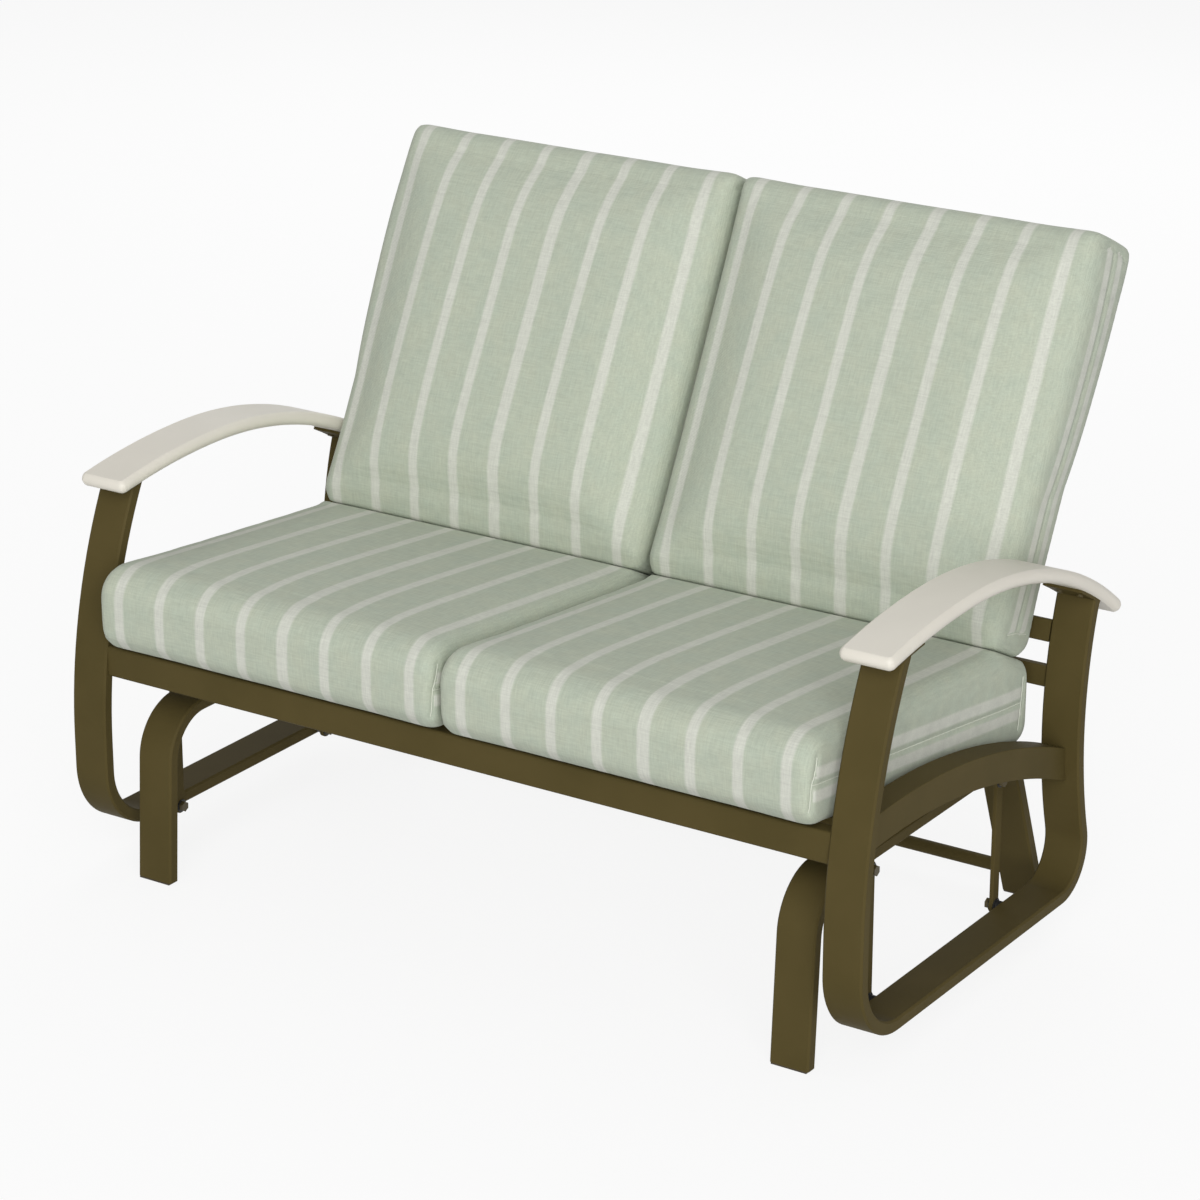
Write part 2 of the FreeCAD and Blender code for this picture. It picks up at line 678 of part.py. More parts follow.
def trim_under_arm(body, end_name, near, far):
    """Cut the top of an upright to the curve of the plate that closes it."""
    centre, radius = arm_underside(end_name, size("arm_plate"))
    high = size("arm_crest_height") + size("arm_width")
    first = math.degrees(math.acos((far - centre.x) / radius))
    last = math.degrees(math.acos((near - centre.x) / radius))
    low_near = centre.y + radius * sin(last)
    low_far = centre.y + radius * sin(first)
    sketch = new_sketch(body, "%s_mitre" % end_name)
    join(sketch, [arc(centre, radius, first, last),
                  line(Vector(near, low_near, 0), Vector(near, high, 0)),
                  line(Vector(near, high, 0), Vector(far, high, 0)),
                  line(Vector(far, high, 0), Vector(far, low_far, 0))], closed=True, smooth=False)
    sketch.addConstraint([Constraint("Vertical", 1), Constraint("Horizontal", 2), Constraint("Vertical", 3)])
    sketch.addConstraint(Constraint("Radius", 0, radius))
    sketch.addConstraint(Constraint("DistanceX", *ORIGIN, 0, CENTRE, centre.x))
    sketch.addConstraint(Constraint("DistanceY", *ORIGIN, 0, CENTRE, centre.y))
    sketch.addConstraint(Constraint("DistanceX", *ORIGIN, 1, START, near))
    sketch.addConstraint(Constraint("DistanceX", *ORIGIN, 3, START, far))
    sketch.addConstraint(Constraint("DistanceY", *ORIGIN, 1, END, high))
    doc.recompute()
    pocket_across(body, "%s_trim" % end_name, sketch, "Sizes.tube_width * 2")


def side_loop(side_name, side):
    """A bent flat tube: curved front upright, floor run, and a rear upright that sweeps back."""
    label = "side_loop_%s" % side_name
    body = new_body(label, across=side * loop_centre)
    half = size("tube_depth") / 2
    front = size("loop_front") + half
    low = size("loop_clearance") + half
    start_height = size("front_curve_start")
    curve, corner = size("front_curve") - half, size("front_corner") - half
    corner_height = size("loop_clearance") + size("front_corner")
    corner_depth = size("loop_front") + size("front_corner")
    rear_corner, rear_curve = size("rear_corner") - half, size("rear_curve") + half
    rear_height = size("loop_clearance") + size("rear_corner")
    rear_depth, kick = size("rear_corner_depth"), size("rear_kick")
    front_top = size("arm_crest_height")
    front_angle = math.degrees(math.asin((front_top - start_height) / curve))
    rear_centre = rear_curve_centre()
    rear_top = under_arm("rear", size("back_face") + size("tube_depth")) + size("tube_depth")
    rear_angle = math.degrees(math.asin((rear_top - rear_centre.y) / rear_curve))
    front_centre = Vector(front + curve, start_height, 0)
    start = front_centre + Vector(-cos(front_angle), sin(front_angle), 0) * curve
    heading = Vector(-sin(front_angle), -cos(front_angle), 0)
    path = new_sketch(body, "path")
    join(path, [arc(front_centre, curve, 180 - front_angle, 180),
                line(Vector(front, start_height, 0), Vector(front, corner_height, 0)),
                arc(Vector(corner_depth, corner_height, 0), corner, 180, 270),
                line(Vector(corner_depth, low, 0), Vector(rear_depth, low, 0)),
                arc(Vector(rear_depth, rear_height, 0), rear_corner, -90, kick),
                arc(rear_centre, rear_curve, 180 - rear_angle, 180 + kick)])
    path.addConstraint([Constraint("Vertical", 1), Constraint("Horizontal", 3)])
    bind(path, Constraint("Radius", 0, curve), "Sizes.front_curve - Sizes.tube_depth / 2")
    bind(path, Constraint("Radius", 2, corner), "Sizes.front_corner - Sizes.tube_depth / 2")
    bind(path, Constraint("Radius", 4, rear_corner), "Sizes.rear_corner - Sizes.tube_depth / 2")
    bind(path, Constraint("Radius", 5, rear_curve), "Sizes.rear_curve + Sizes.tube_depth / 2")
    bind(path, Constraint("DistanceX", *ORIGIN, 1, START, front), "Sizes.loop_front + Sizes.tube_depth / 2")
    bind(path, Constraint("DistanceY", *ORIGIN, 1, START, start_height), "Sizes.front_curve_start")
    bind(path, Constraint("DistanceY", *ORIGIN, 3, START, low), "Sizes.loop_clearance + Sizes.tube_depth / 2")
    bind(path, Constraint("DistanceX", *ORIGIN, 4, CENTRE, rear_depth), "Sizes.rear_corner_depth")
    path.addConstraint(Constraint("DistanceY", *ORIGIN, 0, START, start.y))
    path.addConstraint(Constraint("DistanceY", *ORIGIN, 5, CENTRE, rear_centre.y))
    path.addConstraint(Constraint("DistanceY", *ORIGIN, 5, START, rear_top))
    doc.recompute()
    sweep_tube(body, path, start, heading, flat_tube_section)
    front_edge = front_curve_point(0, front_top - size("arm_thick"))
    reach = 2 * size("tube_depth")
    trim_under_arm(body, "front", front_edge - 2 * reach, front_edge + 2 * reach)
    trim_under_arm(body, "rear", size("back_face") - reach, size("arm_rear_end"))
    bolt_holes(body, [depth for _, depth in pivot_depths], lower_pivot, -side)
    return keep(body, label)


for side_name, side in SIDES:
    side_loop(side_name, side)


# Plank arms, the plates that close the uprights under them, and their screws

def edges_where(shape, test):
    """Names of the edges whose ends and middle all pass a test."""
    names = []
    for number, edge in enumerate(shape.Edges, start=1):
        middle = edge.valueAt((edge.FirstParameter + edge.LastParameter) / 2)
        if all(test(point) for point in [vertex.Point for vertex in edge.Vertexes] + [middle]):
            names.append("Edge%d" % number)
    return names


def round_edges(body, name, test, formula):
    """Fillet the edges of a body that pass a test on their points, in the body's own frame."""
    tip = body.Tip
    fillet = body.newObject("PartDesign::Fillet", name)
    fillet.Base = (tip, edges_where(tip.Shape, test))
    fillet.setExpression("Radius", formula)
    doc.recompute()
    if fillet.Shape.isNull() or not fillet.Shape.isValid():
        raise RuntimeError("%s could not be rounded" % body.Name)
    return fillet


def arm_ray(end_name, depth, radius_drop):
    """Angle from level of the line from an arm arc's centre through a depth on that arc."""
    centre, radius = arm_underside(end_name, radius_drop)
    return math.degrees(math.acos((depth - centre.x) / radius))


def screw_holes(body, across, radius_formula, length_formula, end_names=("front", "rear")):
    """Radial holes up through the arm's lower face, one pair behind each upright."""
    start = size("arm_plate") + 0.5
    for end_name, depth in screw_rows:
        if end_name not in end_names:
            continue
        angle = arm_ray(end_name, depth, 0)
        centre, radius = arm_underside(end_name, start)
        spot = centre + Vector(cos(angle), sin(angle), 0) * radius
        offset = FreeCAD.Placement(Vector(0, spot.x, spot.y), Rotation(ACROSS, angle - 90))
        sketch = new_sketch(body, "screws_%s" % end_name, "XY_Plane", offset)
        for number, x in enumerate(across):
            sketch.addGeometry(Part.Circle(Vector(x, 0, 0), NORMAL, size("arm_screw") / 2))
            sketch.addConstraint(Constraint("DistanceX", *ORIGIN, number, CENTRE, x))
            sketch.addConstraint(Constraint("PointOnObject", number, CENTRE, -1))
            bind(sketch, Constraint("Radius", number, size("arm_screw") / 2), radius_formula)
        doc.recompute()
        before = body.Shape.Volume
        hole = body.newObject("PartDesign::Pocket", "hole_%s" % end_name)
        hole.Profile = sketch
        hole.Reversed = True
        hole.setExpression("Length", length_formula)
        doc.recompute()
        if body.Shape.Volume >= before:
            raise RuntimeError("screw holes in %s cut nothing" % body.Name)


front_top_depth = front_curve_point(0, under_arm("front", 0) - size("arm_plate"))
rear_top_depth = size("arm_rear_end") - size("tube_width")
plate_length = size("arm_plate_length")
screw_offset = plate_length / 2 + size("arm_plate")
screw_rows = (("front", front_top_depth + screw_offset), ("rear", rear_top_depth - screw_offset))
screw_across = (-size("arm_screw_spacing") / 2, size("arm_screw_spacing") / 2)


def arm(side_name, side):
    """A plank curved in two sweeps that meet at its crest, with rounded ends and edges."""
    label = "arm_%s" % side_name
    body = new_body(label, across=side * arm_centre)
    thick = size("arm_thick")
    end = thick / 2
    crest = Vector(size("arm_crest_depth"), size("arm_crest_height"), 0)
    curves = []
    centres = {}
    for end_name, edge in (("front", size("arm_front_end") + end), ("rear", size("arm_rear_end") - end)):
        centre, lower = arm_underside(end_name)
        angle = math.degrees(math.acos((edge - centre.x) / (lower + end)))
        tip = centre + Vector(cos(angle), sin(angle), 0) * (lower + end)
        centres[end_name] = (centre, lower, angle, tip)
    centre, lower, angle, tip = centres["front"]
    curves += [arc(centre, lower + thick, 90, angle), arc(tip, end, angle, angle + 180),
               arc(centre, lower, 90, angle)]
    centre, lower, angle, tip = centres["rear"]
    curves += [arc(centre, lower, angle, 90), arc(tip, end, angle - 180, angle),
               arc(centre, lower + thick, angle, 90)]
    sketch = new_sketch(body, "side")
    join(sketch, curves, closed=True)
    for number in (0, 2):
        formula = "Sizes.arm_front_curve" + (" - Sizes.arm_thick" if number else "")
        bind(sketch, Constraint("Radius", number, curves[number].Radius), formula)
        formula = "Sizes.arm_rear_curve" + (" - Sizes.arm_thick" if number == 0 else "")
        bind(sketch, Constraint("Radius", 3 + number, curves[3 + number].Radius), formula)
    sketch.addConstraint(Constraint("DistanceX", *ORIGIN, 0, START, crest.x))
    sketch.addConstraint(Constraint("DistanceY", *ORIGIN, 0, START, crest.y))
    sketch.addConstraint(Constraint("DistanceX", *ORIGIN, 0, CENTRE, crest.x))
    sketch.addConstraint(Constraint("DistanceX", *ORIGIN, 1, CENTRE, centres["front"][3].x))
    sketch.addConstraint(Constraint("DistanceX", *ORIGIN, 4, CENTRE, centres["rear"][3].x))
    doc.recompute()
    pad_across(body, "plank", sketch, "Sizes.arm_width")
    flank = size("arm_width") / 2
    round_edges(body, "rounded_edges", lambda point: abs(abs(point.x) - flank) < 0.01, "Sizes.arm_edge")
    shift = side * (loop_centre - arm_centre)
    screw_holes(body, [shift + x for x in screw_across], "Sizes.arm_screw / 2 + Sizes.running_fit",
                "Sizes.arm_plate + 0.5 + Sizes.arm_screw_reach")
    return keep(body, label)


def arm_plate(end_name, near, far):
    """A curved strip under an arm that closes one upright and carries two screws."""
    body = doc.addObject("PartDesign::Body", "plate_%s" % end_name)
    centre, upper = arm_underside(end_name)
    lower = upper - size("arm_plate")
    span = sorted(math.degrees(math.acos((depth - centre.x) / upper)) for depth in (near, far))
    rim = [centre + Vector(cos(angle), sin(angle), 0) * radius
           for radius in (upper, lower) for angle in span]
    sketch = new_sketch(body, "strip")
    join(sketch, [arc(centre, upper, *span), line(rim[1], rim[3]), arc(centre, lower, *span),
                  line(rim[2], rim[0])], closed=True, smooth=False)
    for number, radius in ((0, upper), (2, lower)):
        sketch.addConstraint(Constraint("Radius", number, radius))
        sketch.addConstraint(Constraint("DistanceX", *ORIGIN, number, CENTRE, centre.x))
        sketch.addConstraint(Constraint("DistanceY", *ORIGIN, number, CENTRE, centre.y))
    for number, point, rim_point in ((0, START, 0), (0, END, 1), (2, START, 2), (2, END, 3)):
        sketch.addConstraint(Constraint("DistanceX", *ORIGIN, number, point, rim[rim_point].x))
    doc.recompute()
    pad_across(body, "plate", sketch, "Sizes.tube_width")
    screw_holes(body, screw_across, "Sizes.arm_screw / 2 + Sizes.running_fit",
                "Sizes.arm_plate + 1", (end_name,))
    return body


for side_name, side in SIDES:
    arm(side_name, side)

front_plate = arm_plate("front", front_top_depth - size("tube_depth") / 2,
                        front_top_depth - size("tube_depth") / 2 + plate_length)
rear_plate = arm_plate("rear", rear_top_depth - plate_length, rear_top_depth)
copies("arm_plates", [front_plate, rear_plate] * 2,
       [place(side * loop_centre, 0, 0) for _, side in SIDES for _ in range(2)])

screw_head, screw_thick = size("arm_screw_head") / 2, size("arm_screw_head_thick")
screw_radius = size("arm_screw") / 2
screw_tip = size("arm_plate") + size("arm_screw_reach") - 0.5
arm_screw = turned("arm_screw", [(-screw_thick, 0), (screw_tip, 0), (screw_tip, screw_radius),
                                 (0, screw_radius), (0, screw_head), (-screw_thick, screw_head)])
screw_places = []
for _, side in SIDES:
    for end_name, depth in screw_rows:
        angle = arm_ray(end_name, depth, 0)
        centre, radius = arm_underside(end_name, size("arm_plate"))
        spot = centre + Vector(cos(angle), sin(angle), 0) * radius
        inward = Rotation(ACROSS, Vector(0, cos(angle), sin(angle)))
        screw_places += [place(side * loop_centre + x, spot.x, spot.y, inward) for x in screw_across]
copies("arm_screws", [arm_screw] * len(screw_places), screw_places)


# Seat frame: two arched side rails, a front and a rear rail, a centre brace and slats

inside_loops = "Sizes.loop_span - 2 * Sizes.tube_width"


def crossings(first, second):
    """The two points where two circles, each a centre and a radius, cross."""
    (a, r), (b, q) = first, second
    apart = b - a
    along = (apart.Length ** 2 + r ** 2 - q ** 2) / (2 * apart.Length)
    away = math.sqrt(r ** 2 - along ** 2)
    unit = apart.normalize()
    return [a + unit * along + Vector(-unit.y, unit.x, 0) * away * turn for turn in (-1, 1)]


def lowest_crossing(first, second, near):
    """The crossing of two circles that lies nearest a point."""
    return min(crossings(first, second), key=lambda point: (point - near).Length)


def arc_between(centre, radius, a, b):
    """The shorter arc of a circle between two points on it."""
    angles = [math.degrees(math.atan2(point.y - centre.y, point.x - centre.x)) for point in (a, b)]
    first, last = sorted(angles)
    if last - first > 180:
        first, last = last, first + 360
    return arc(centre, radius, first, last)


def side_rail(side_name, side):
    """An arched box tube between the uprights of a side loop, coped to both of them."""
    label = "seat_side_rail_%s" % side_name
    middle = loop_inner + size("side_rail_width") / 2
    body = new_body(label, across=side * middle)
    arch = Vector(size("side_rail_crest_depth"), side_rail_crest - size("side_rail_curve"), 0)
    front = Vector(size("loop_front") + size("front_curve"), size("front_curve_start"), 0)
    rear = rear_curve_centre()
    fronts = (front, size("front_curve") - size("tube_depth"))
    rears = (rear, size("rear_curve") + size("tube_depth"))
    walls = (("rail", 0, "Sizes.side_rail_width", "Sizes.side_rail_curve%s Sizes.side_rail_height / 2"),
             ("hollow", size("rail_wall"), "Sizes.side_rail_width - 2 * Sizes.rail_wall",
              "Sizes.side_rail_curve%s (Sizes.side_rail_height / 2 - Sizes.rail_wall)"))
    for name, inset, wide, formula in walls:
        half = size("side_rail_height") / 2 - inset
        upper, lower = size("side_rail_curve") + half, size("side_rail_curve") - half
        corners = [lowest_crossing((arch, radius), end, Vector(depth, side_rail_crest, 0))
                   for radius in (upper, lower)
                   for end, depth in ((fronts, 0), (rears, size("rear_corner_depth")))]
        curves = [arc_between(arch, upper, corners[0], corners[1]),
                  arc_between(*fronts, corners[0], corners[2]),
                  arc_between(arch, lower, corners[2], corners[3]),
                  arc_between(*rears, corners[1], corners[3])]
        sketch = new_sketch(body, "%s_side" % name)
        join(sketch, curves, closed=True, smooth=False)
        for number, curve in enumerate(curves):
            sketch.addConstraint(Constraint("DistanceX", *ORIGIN, number, CENTRE, curve.Center.x))
            sketch.addConstraint(Constraint("DistanceY", *ORIGIN, number, CENTRE, curve.Center.y))
        bind(sketch, Constraint("Radius", 0, upper), formula % " +")
        bind(sketch, Constraint("Radius", 2, lower), formula % " -")
        bind(sketch, Constraint("Radius", 1, fronts[1]), "Sizes.front_curve - Sizes.tube_depth")
        bind(sketch, Constraint("Radius", 3, rears[1]), "Sizes.rear_curve + Sizes.tube_depth")
        doc.recompute()
        if inset:
            pocket_across(body, name, sketch, wide)
        else:
            pad_across(body, name, sketch, wide)
    return keep(body, label)


def cross_bar(label, spot, tilt, wide, tall, corner, length_formula, wall=None, draw=eased_oblong):
    """A straight bar across the bench with eased or rounded edges, solid or hollow.

    The width runs from front to back and the height up, before the bar is tilted about X.
    Each is given as the name of a size, and so are the corner and the wall.
    """
    body = new_body(label, depth=spot.x, height=spot.y, tilt=-tilt)
    sketch = new_sketch(body, "section")
    draw(sketch, size(wide), size(tall), size(corner),
         "Sizes.%s" % wide, "Sizes.%s" % tall, "Sizes.%s" % corner)
    if wall:
        inner = "Sizes.%%s - 2 * Sizes.%s" % wall
        oblong(sketch, size(wide) - 2 * size(wall), size(tall) - 2 * size(wall),
               inner % wide, inner % tall)
    doc.recompute()
    pad_across(body, "bar", sketch, length_formula)
    return keep(body, label)


pitch = size("seat_pitch")
seat_up = Vector(sin(pitch), cos(pitch), 0)


def seat_level(depth):
    """Height of the seat's slats at a depth."""
    return seat_plane - depth * math.tan(math.radians(pitch))


def on_seat(depth, below):
    """A point under the plane of the slats."""
    return Vector(depth, seat_level(depth), 0) - seat_up * below


for side_name, side in SIDES:
    side_rail(side_name, side)
front_rail_middle = Vector(size("front_rail_face") + size("front_rail_depth") / 2,
                           seat_plane - size("front_rail_drop") - size("front_rail_height") / 2, 0)
cross_bar("seat_front_rail", front_rail_middle, 0, "front_rail_depth", "front_rail_height",
          "rail_corner", inside_loops, "rail_wall", rounded_oblong)
cross_bar("seat_rear_rail", on_seat(size("rear_rail_depth"), size("rear_rail_thick") / 2), pitch,
          "slat_width", "rear_rail_thick", "slat_corner", inside_loops, "rail_wall")
for number in range(int(size("seat_slat_count"))):
    depth = size("seat_slat_first") + number * size("seat_slat_pitch")
    cross_bar("seat_slat_%d" % (number + 1), on_seat(depth, size("slat_thick") / 2), pitch,
              "slat_width", "slat_thick", "slat_corner", inside_loops)

brace = new_body("seat_centre_brace")
brace_front = size("front_rail_face") + size("front_rail_depth")
brace_rear = (size("rear_rail_depth") - size("slat_width") / 2 * cos(pitch)
              - size("rear_rail_thick") * sin(pitch))
for name, inset in (("brace", 0), ("hollow", size("rail_wall"))):
    top = (size("slat_thick") + inset) / cos(pitch)
    bottom = (size("slat_thick") + size("brace") - inset) / cos(pitch)
    side_sketch = new_sketch(brace, "%s_side" % name)
    polygon(side_sketch, [(brace_front, seat_level(brace_front) - bottom),
                          (brace_rear, seat_level(brace_rear) - bottom),
                          (brace_rear, seat_level(brace_rear) - top),
                          (brace_front, seat_level(brace_front) - top)])
    doc.recompute()
    if inset:
        pocket_across(brace, name, side_sketch, "Sizes.brace - 2 * Sizes.rail_wall")
    else:
        pad_across(brace, name, side_sketch, "Sizes.brace")
keep(brace, "seat_centre_brace")


# Back frame: horizontal bars on three bent stiles behind them

recline = size("recline")
stile_across = loop_inner - size("stile_inset")
across_stiles = inside_loops + " - 2 * Sizes.stile_inset + 2 * Sizes.back_slat_over"
bend_start = seat_plane + size("back_bend_rise")
first_bar = seat_plane + size("back_first_bar_rise")
back_foot = seat_plane - size("back_foot_drop")
bend_centre = Vector(size("back_face") + size("back_bend"), bend_start, 0)
bend_length = math.radians(recline) * size("back_bend")


def back_path(travel, behind):
    """A point and its lean on the back's front face, or behind it, at a travel up from the first bar."""
    straight = bend_start - first_bar
    if travel <= straight:
        point, lean = Vector(size("back_face"), first_bar + travel, 0), 0.0
    else:
        lean = min(recline, math.degrees((travel - straight) / size("back_bend")))
        point = bend_centre + Vector(-cos(lean), sin(lean), 0) * size("back_bend")
        past = max(0.0, travel - straight - bend_length)
        point = point + Vector(sin(lean), cos(lean), 0) * past
    return point + Vector(cos(lean), -sin(lean), 0) * behind, lean


for number in range(int(size("back_bar_count"))):
    spot, lean = back_path(number * size("back_pitch"), size("back_bar_thick") / 2)
    label = "back_cross_bar_%d" % (number + 1) if number < 2 else "back_slat_%d" % (number - 1)
    cross_bar(label, spot, lean, "back_bar_thick", "slat_width", "slat_corner",
              inside_loops if number < 2 else across_stiles, "rail_wall")

stile_travel = (size("back_bar_count") - 1) * size("back_pitch") + size("stile_over")
stile_behind = size("back_bar_thick") + size("stile_depth") / 2
stile_foot, _ = back_path(back_foot - first_bar, stile_behind)
stile_head, _ = back_path(stile_travel, stile_behind)


def stile_section(sketch):
    eased_oblong(sketch, size("stile_width"), size("stile_depth"), size("stile_corner"),
                 "Sizes.stile_width", "Sizes.stile_depth", "Sizes.stile_corner")
    oblong(sketch, size("stile_width") - 2 * size("rail_wall"), size("stile_depth") - 2 * size("rail_wall"),
           "Sizes.stile_width - 2 * Sizes.rail_wall", "Sizes.stile_depth - 2 * Sizes.rail_wall")


def back_stile(label, across):
    """A bent tube that carries the bars of the back: upright below, reclined above."""
    body = new_body(label, across=across)
    radius = size("back_bend") - stile_behind
    turn_start = Vector(stile_foot.x, bend_start, 0)
    turn_end = bend_centre + Vector(-cos(recline), sin(recline), 0) * radius
    path = new_sketch(body, "path")
    join(path, [line(stile_foot, turn_start), arc(bend_centre, radius, 180 - recline, 180),
                line(turn_end, stile_head)])
    path.addConstraint(Constraint("Vertical", 0))
    path.addConstraint(Constraint("DistanceX", *ORIGIN, 1, CENTRE, bend_centre.x))
    bind(path, Constraint("DistanceY", *ORIGIN, 1, CENTRE, bend_centre.y),
         "Sizes.base_height + Sizes.seat_over_base + Sizes.back_bend_rise")
    bind(path, Constraint("Radius", 1, radius),
         "Sizes.back_bend - Sizes.back_bar_thick - Sizes.stile_depth / 2")
    bind(path, Constraint("DistanceY", *ORIGIN, 0, START, stile_foot.y),
         "Sizes.base_height + Sizes.seat_over_base - Sizes.back_foot_drop")
    path.addConstraint(Constraint("DistanceY", *ORIGIN, 2, END, stile_head.y))
    path.addConstraint(Constraint("DistanceX", *ORIGIN, 2, END, stile_head.x))
    doc.recompute()
    sweep_tube(body, path, stile_foot, Vector(0, 1, 0), stile_section)
    return keep(body, label)


stile_places = (("left", -stile_across), ("centre", 0.0), ("right", stile_across))
for side_name, across in stile_places:
    back_stile("back_stile_%s" % side_name, across)

stile_cap = doc.addObject("PartDesign::Body", "stile_cap")
plug_inset = size("rail_wall") + size("cap_fit")
for name, inset, length in (("flange", 0.0, "cap_thick"), ("plug", plug_inset, "cap_plug")):
    cap_sketch = new_sketch(stile_cap, "%s_outline" % name, "XY_Plane")
    shrink = " - 2 * (Sizes.rail_wall + Sizes.cap_fit)" if inset else ""
    oblong(cap_sketch, size("stile_width") - 2 * inset, size("stile_depth") - 2 * inset,
           "Sizes.stile_width" + shrink, "Sizes.stile_depth" + shrink)
    doc.recompute()
    cap_pad = stile_cap.newObject("PartDesign::Pad", name)
    cap_pad.Profile = cap_sketch
    cap_pad.Reversed = not inset
    cap_pad.setExpression("Length", "Sizes.%s" % length)
    doc.recompute()
cap_places = []
for _, across in stile_places:
    cap_places += [place(across, stile_foot.x, stile_foot.y),
                   place(across, stile_head.x, stile_head.y, Rotation(ACROSS, 180 - recline))]
copies("back_stile_caps", [stile_cap] * len(cap_places), cap_places)


# Cushions: two on the seat and two against the back

def cushion(label, across, tilt, corners, radii, width_formula, edge_formula):
    """A cushion from its side outline: its long corners are rounded, then its two flanks."""
    body = new_body(label, across=across, tilt=-tilt)
    sketch = new_sketch(body, "side")
    polygon(sketch, corners)
    doc.recompute()
    pad_across(body, "block", sketch, width_formula)
    for number, (corner, formula) in enumerate(zip(corners, radii)):
        spot = Vector(0, *corner)
        round_edges(body, "corner_%d" % (number + 1),
                    lambda point: (Vector(0, point.y, point.z) - spot).Length < 0.01, formula)
    flank = max(vertex.X for vertex in body.Tip.Shape.Vertexes)
    round_edges(body, "flanks", lambda point: abs(abs(point.x) - flank) < 0.01, edge_formula)
    return keep(body, label)


def seat_top(depth):
    return seat_plane + size("seat_cushion_thick") - depth * math.tan(math.radians(size("seat_top_pitch")))


def under_back(depth):
    """Height of the lower face of the back cushions, less the gap below them, at a depth."""
    below = back_foot_line - 2 * size("cushion_rest")
    return (below - depth * sin(recline)) / cos(recline)


def cushion_base(depth):
    return seat_level(depth) + size("cushion_rest")


bend_end = bend_centre.x * sin(recline) + bend_centre.y * cos(recline)
back_foot_line = bend_end - size("back_cushion_drop")
near, far = size("seat_front"), size("seat_rear")
slope = math.tan(math.radians(recline)) - math.tan(math.radians(size("seat_top_pitch")))
meet = (under_back(0) - seat_top(0)) / slope
seat_corners = [(near, cushion_base(near)), (far, cushion_base(far)), (far, under_back(far)),
                (meet, seat_top(meet)), (near, seat_top(near))]
seat_radii = ["Sizes.seat_nose", "Sizes.seat_heel", "Sizes.seat_heel", "Sizes.seat_break",
              "Sizes.seat_nose"]
rear_face = bend_centre.x * cos(recline) - bend_centre.y * sin(recline) - size("back_bend")
rear_face -= size("cushion_rest")
front_face = rear_face - size("back_cushion_thick")
head = back_foot_line + size("back_cushion_length")
back_corners = [(front_face, back_foot_line), (rear_face, back_foot_line), (rear_face, head),
                (front_face, head)]
between_loops = "Sizes.loop_span / 2 - Sizes.tube_width - Sizes.cushion_gap / 2 - Sizes.cushion_loop_gap"
between_arms = ("Sizes.loop_span / 2 + Sizes.arm_overhang - Sizes.arm_width - Sizes.cushion_gap / 2"
                " - Sizes.cushion_arm_gap")
seat_outer = loop_inner - size("cushion_loop_gap")
back_outer = arm_centre - size("arm_width") / 2 - size("cushion_arm_gap")
for side_name, side in SIDES:
    middle = side * (size("cushion_gap") / 2 + seat_outer) / 2
    cushion("seat_cushion_%s" % side_name, middle, 0, seat_corners, seat_radii,
            between_loops, "Sizes.seat_edge")
    middle = side * (size("cushion_gap") / 2 + back_outer) / 2
    cushion("back_cushion_%s" % side_name, middle, recline, back_corners,
            ["Sizes.back_cushion_corner"] * 4, between_arms, "Sizes.back_cushion_edge")


# Write the pieces

doc.recompute()
for thing in doc.Objects:
    if {"Invalid", "Error"} & set(thing.State):
        raise RuntimeError("%s failed: %s" % (thing.Label, thing.State))
os.makedirs("parts", exist_ok=True)
for thing in subparts:
    if thing.Shape.isNull() or not thing.Shape.isValid():
        raise RuntimeError("%s has no sound shape" % thing.Label)
    thing.Shape.exportStep("parts/%s.step" % thing.Label)
print("%d pieces written" % len(subparts))
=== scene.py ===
import json
import math

import bmesh
import bpy
import numpy as np
from mathutils import Matrix, Vector
from mathutils.bvhtree import BVHTree
from mathutils.kdtree import KDTree

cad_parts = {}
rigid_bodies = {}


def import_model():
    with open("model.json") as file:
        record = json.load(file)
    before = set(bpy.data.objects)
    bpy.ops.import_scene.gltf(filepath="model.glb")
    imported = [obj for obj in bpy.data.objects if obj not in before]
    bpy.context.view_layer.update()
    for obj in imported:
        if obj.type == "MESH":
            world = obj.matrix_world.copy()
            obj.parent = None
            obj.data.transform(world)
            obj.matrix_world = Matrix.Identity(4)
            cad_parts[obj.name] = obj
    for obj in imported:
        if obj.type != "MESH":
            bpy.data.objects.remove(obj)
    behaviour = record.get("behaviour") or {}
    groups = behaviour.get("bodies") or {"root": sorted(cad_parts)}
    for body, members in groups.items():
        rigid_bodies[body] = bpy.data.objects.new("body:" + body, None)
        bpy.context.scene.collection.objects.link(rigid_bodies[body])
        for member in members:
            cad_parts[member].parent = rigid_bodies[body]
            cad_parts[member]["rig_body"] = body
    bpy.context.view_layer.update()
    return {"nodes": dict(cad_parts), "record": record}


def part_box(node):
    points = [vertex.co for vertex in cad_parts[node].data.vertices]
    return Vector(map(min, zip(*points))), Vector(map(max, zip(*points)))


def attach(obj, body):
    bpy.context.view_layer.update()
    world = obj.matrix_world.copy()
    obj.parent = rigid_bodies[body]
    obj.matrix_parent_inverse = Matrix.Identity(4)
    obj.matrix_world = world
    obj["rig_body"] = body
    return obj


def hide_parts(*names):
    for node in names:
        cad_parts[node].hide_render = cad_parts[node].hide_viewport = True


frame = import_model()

# Glider bench for two, in metres and in the frame of the solid model: X across, Y from front
# to back, Z up from the floor. The frame's tubes and planks are redrawn with rolled edges over
# the solid ones, and the four cushions are inflated by a cloth simulation, then seamed.

nodes = frame["nodes"]

# Depths in the comments and values below are measured from the front feet, which stand this far
# in front of the origin. The back leans by the recline.
SETBACK = 0.3774
RECLINE = math.radians(26.5)

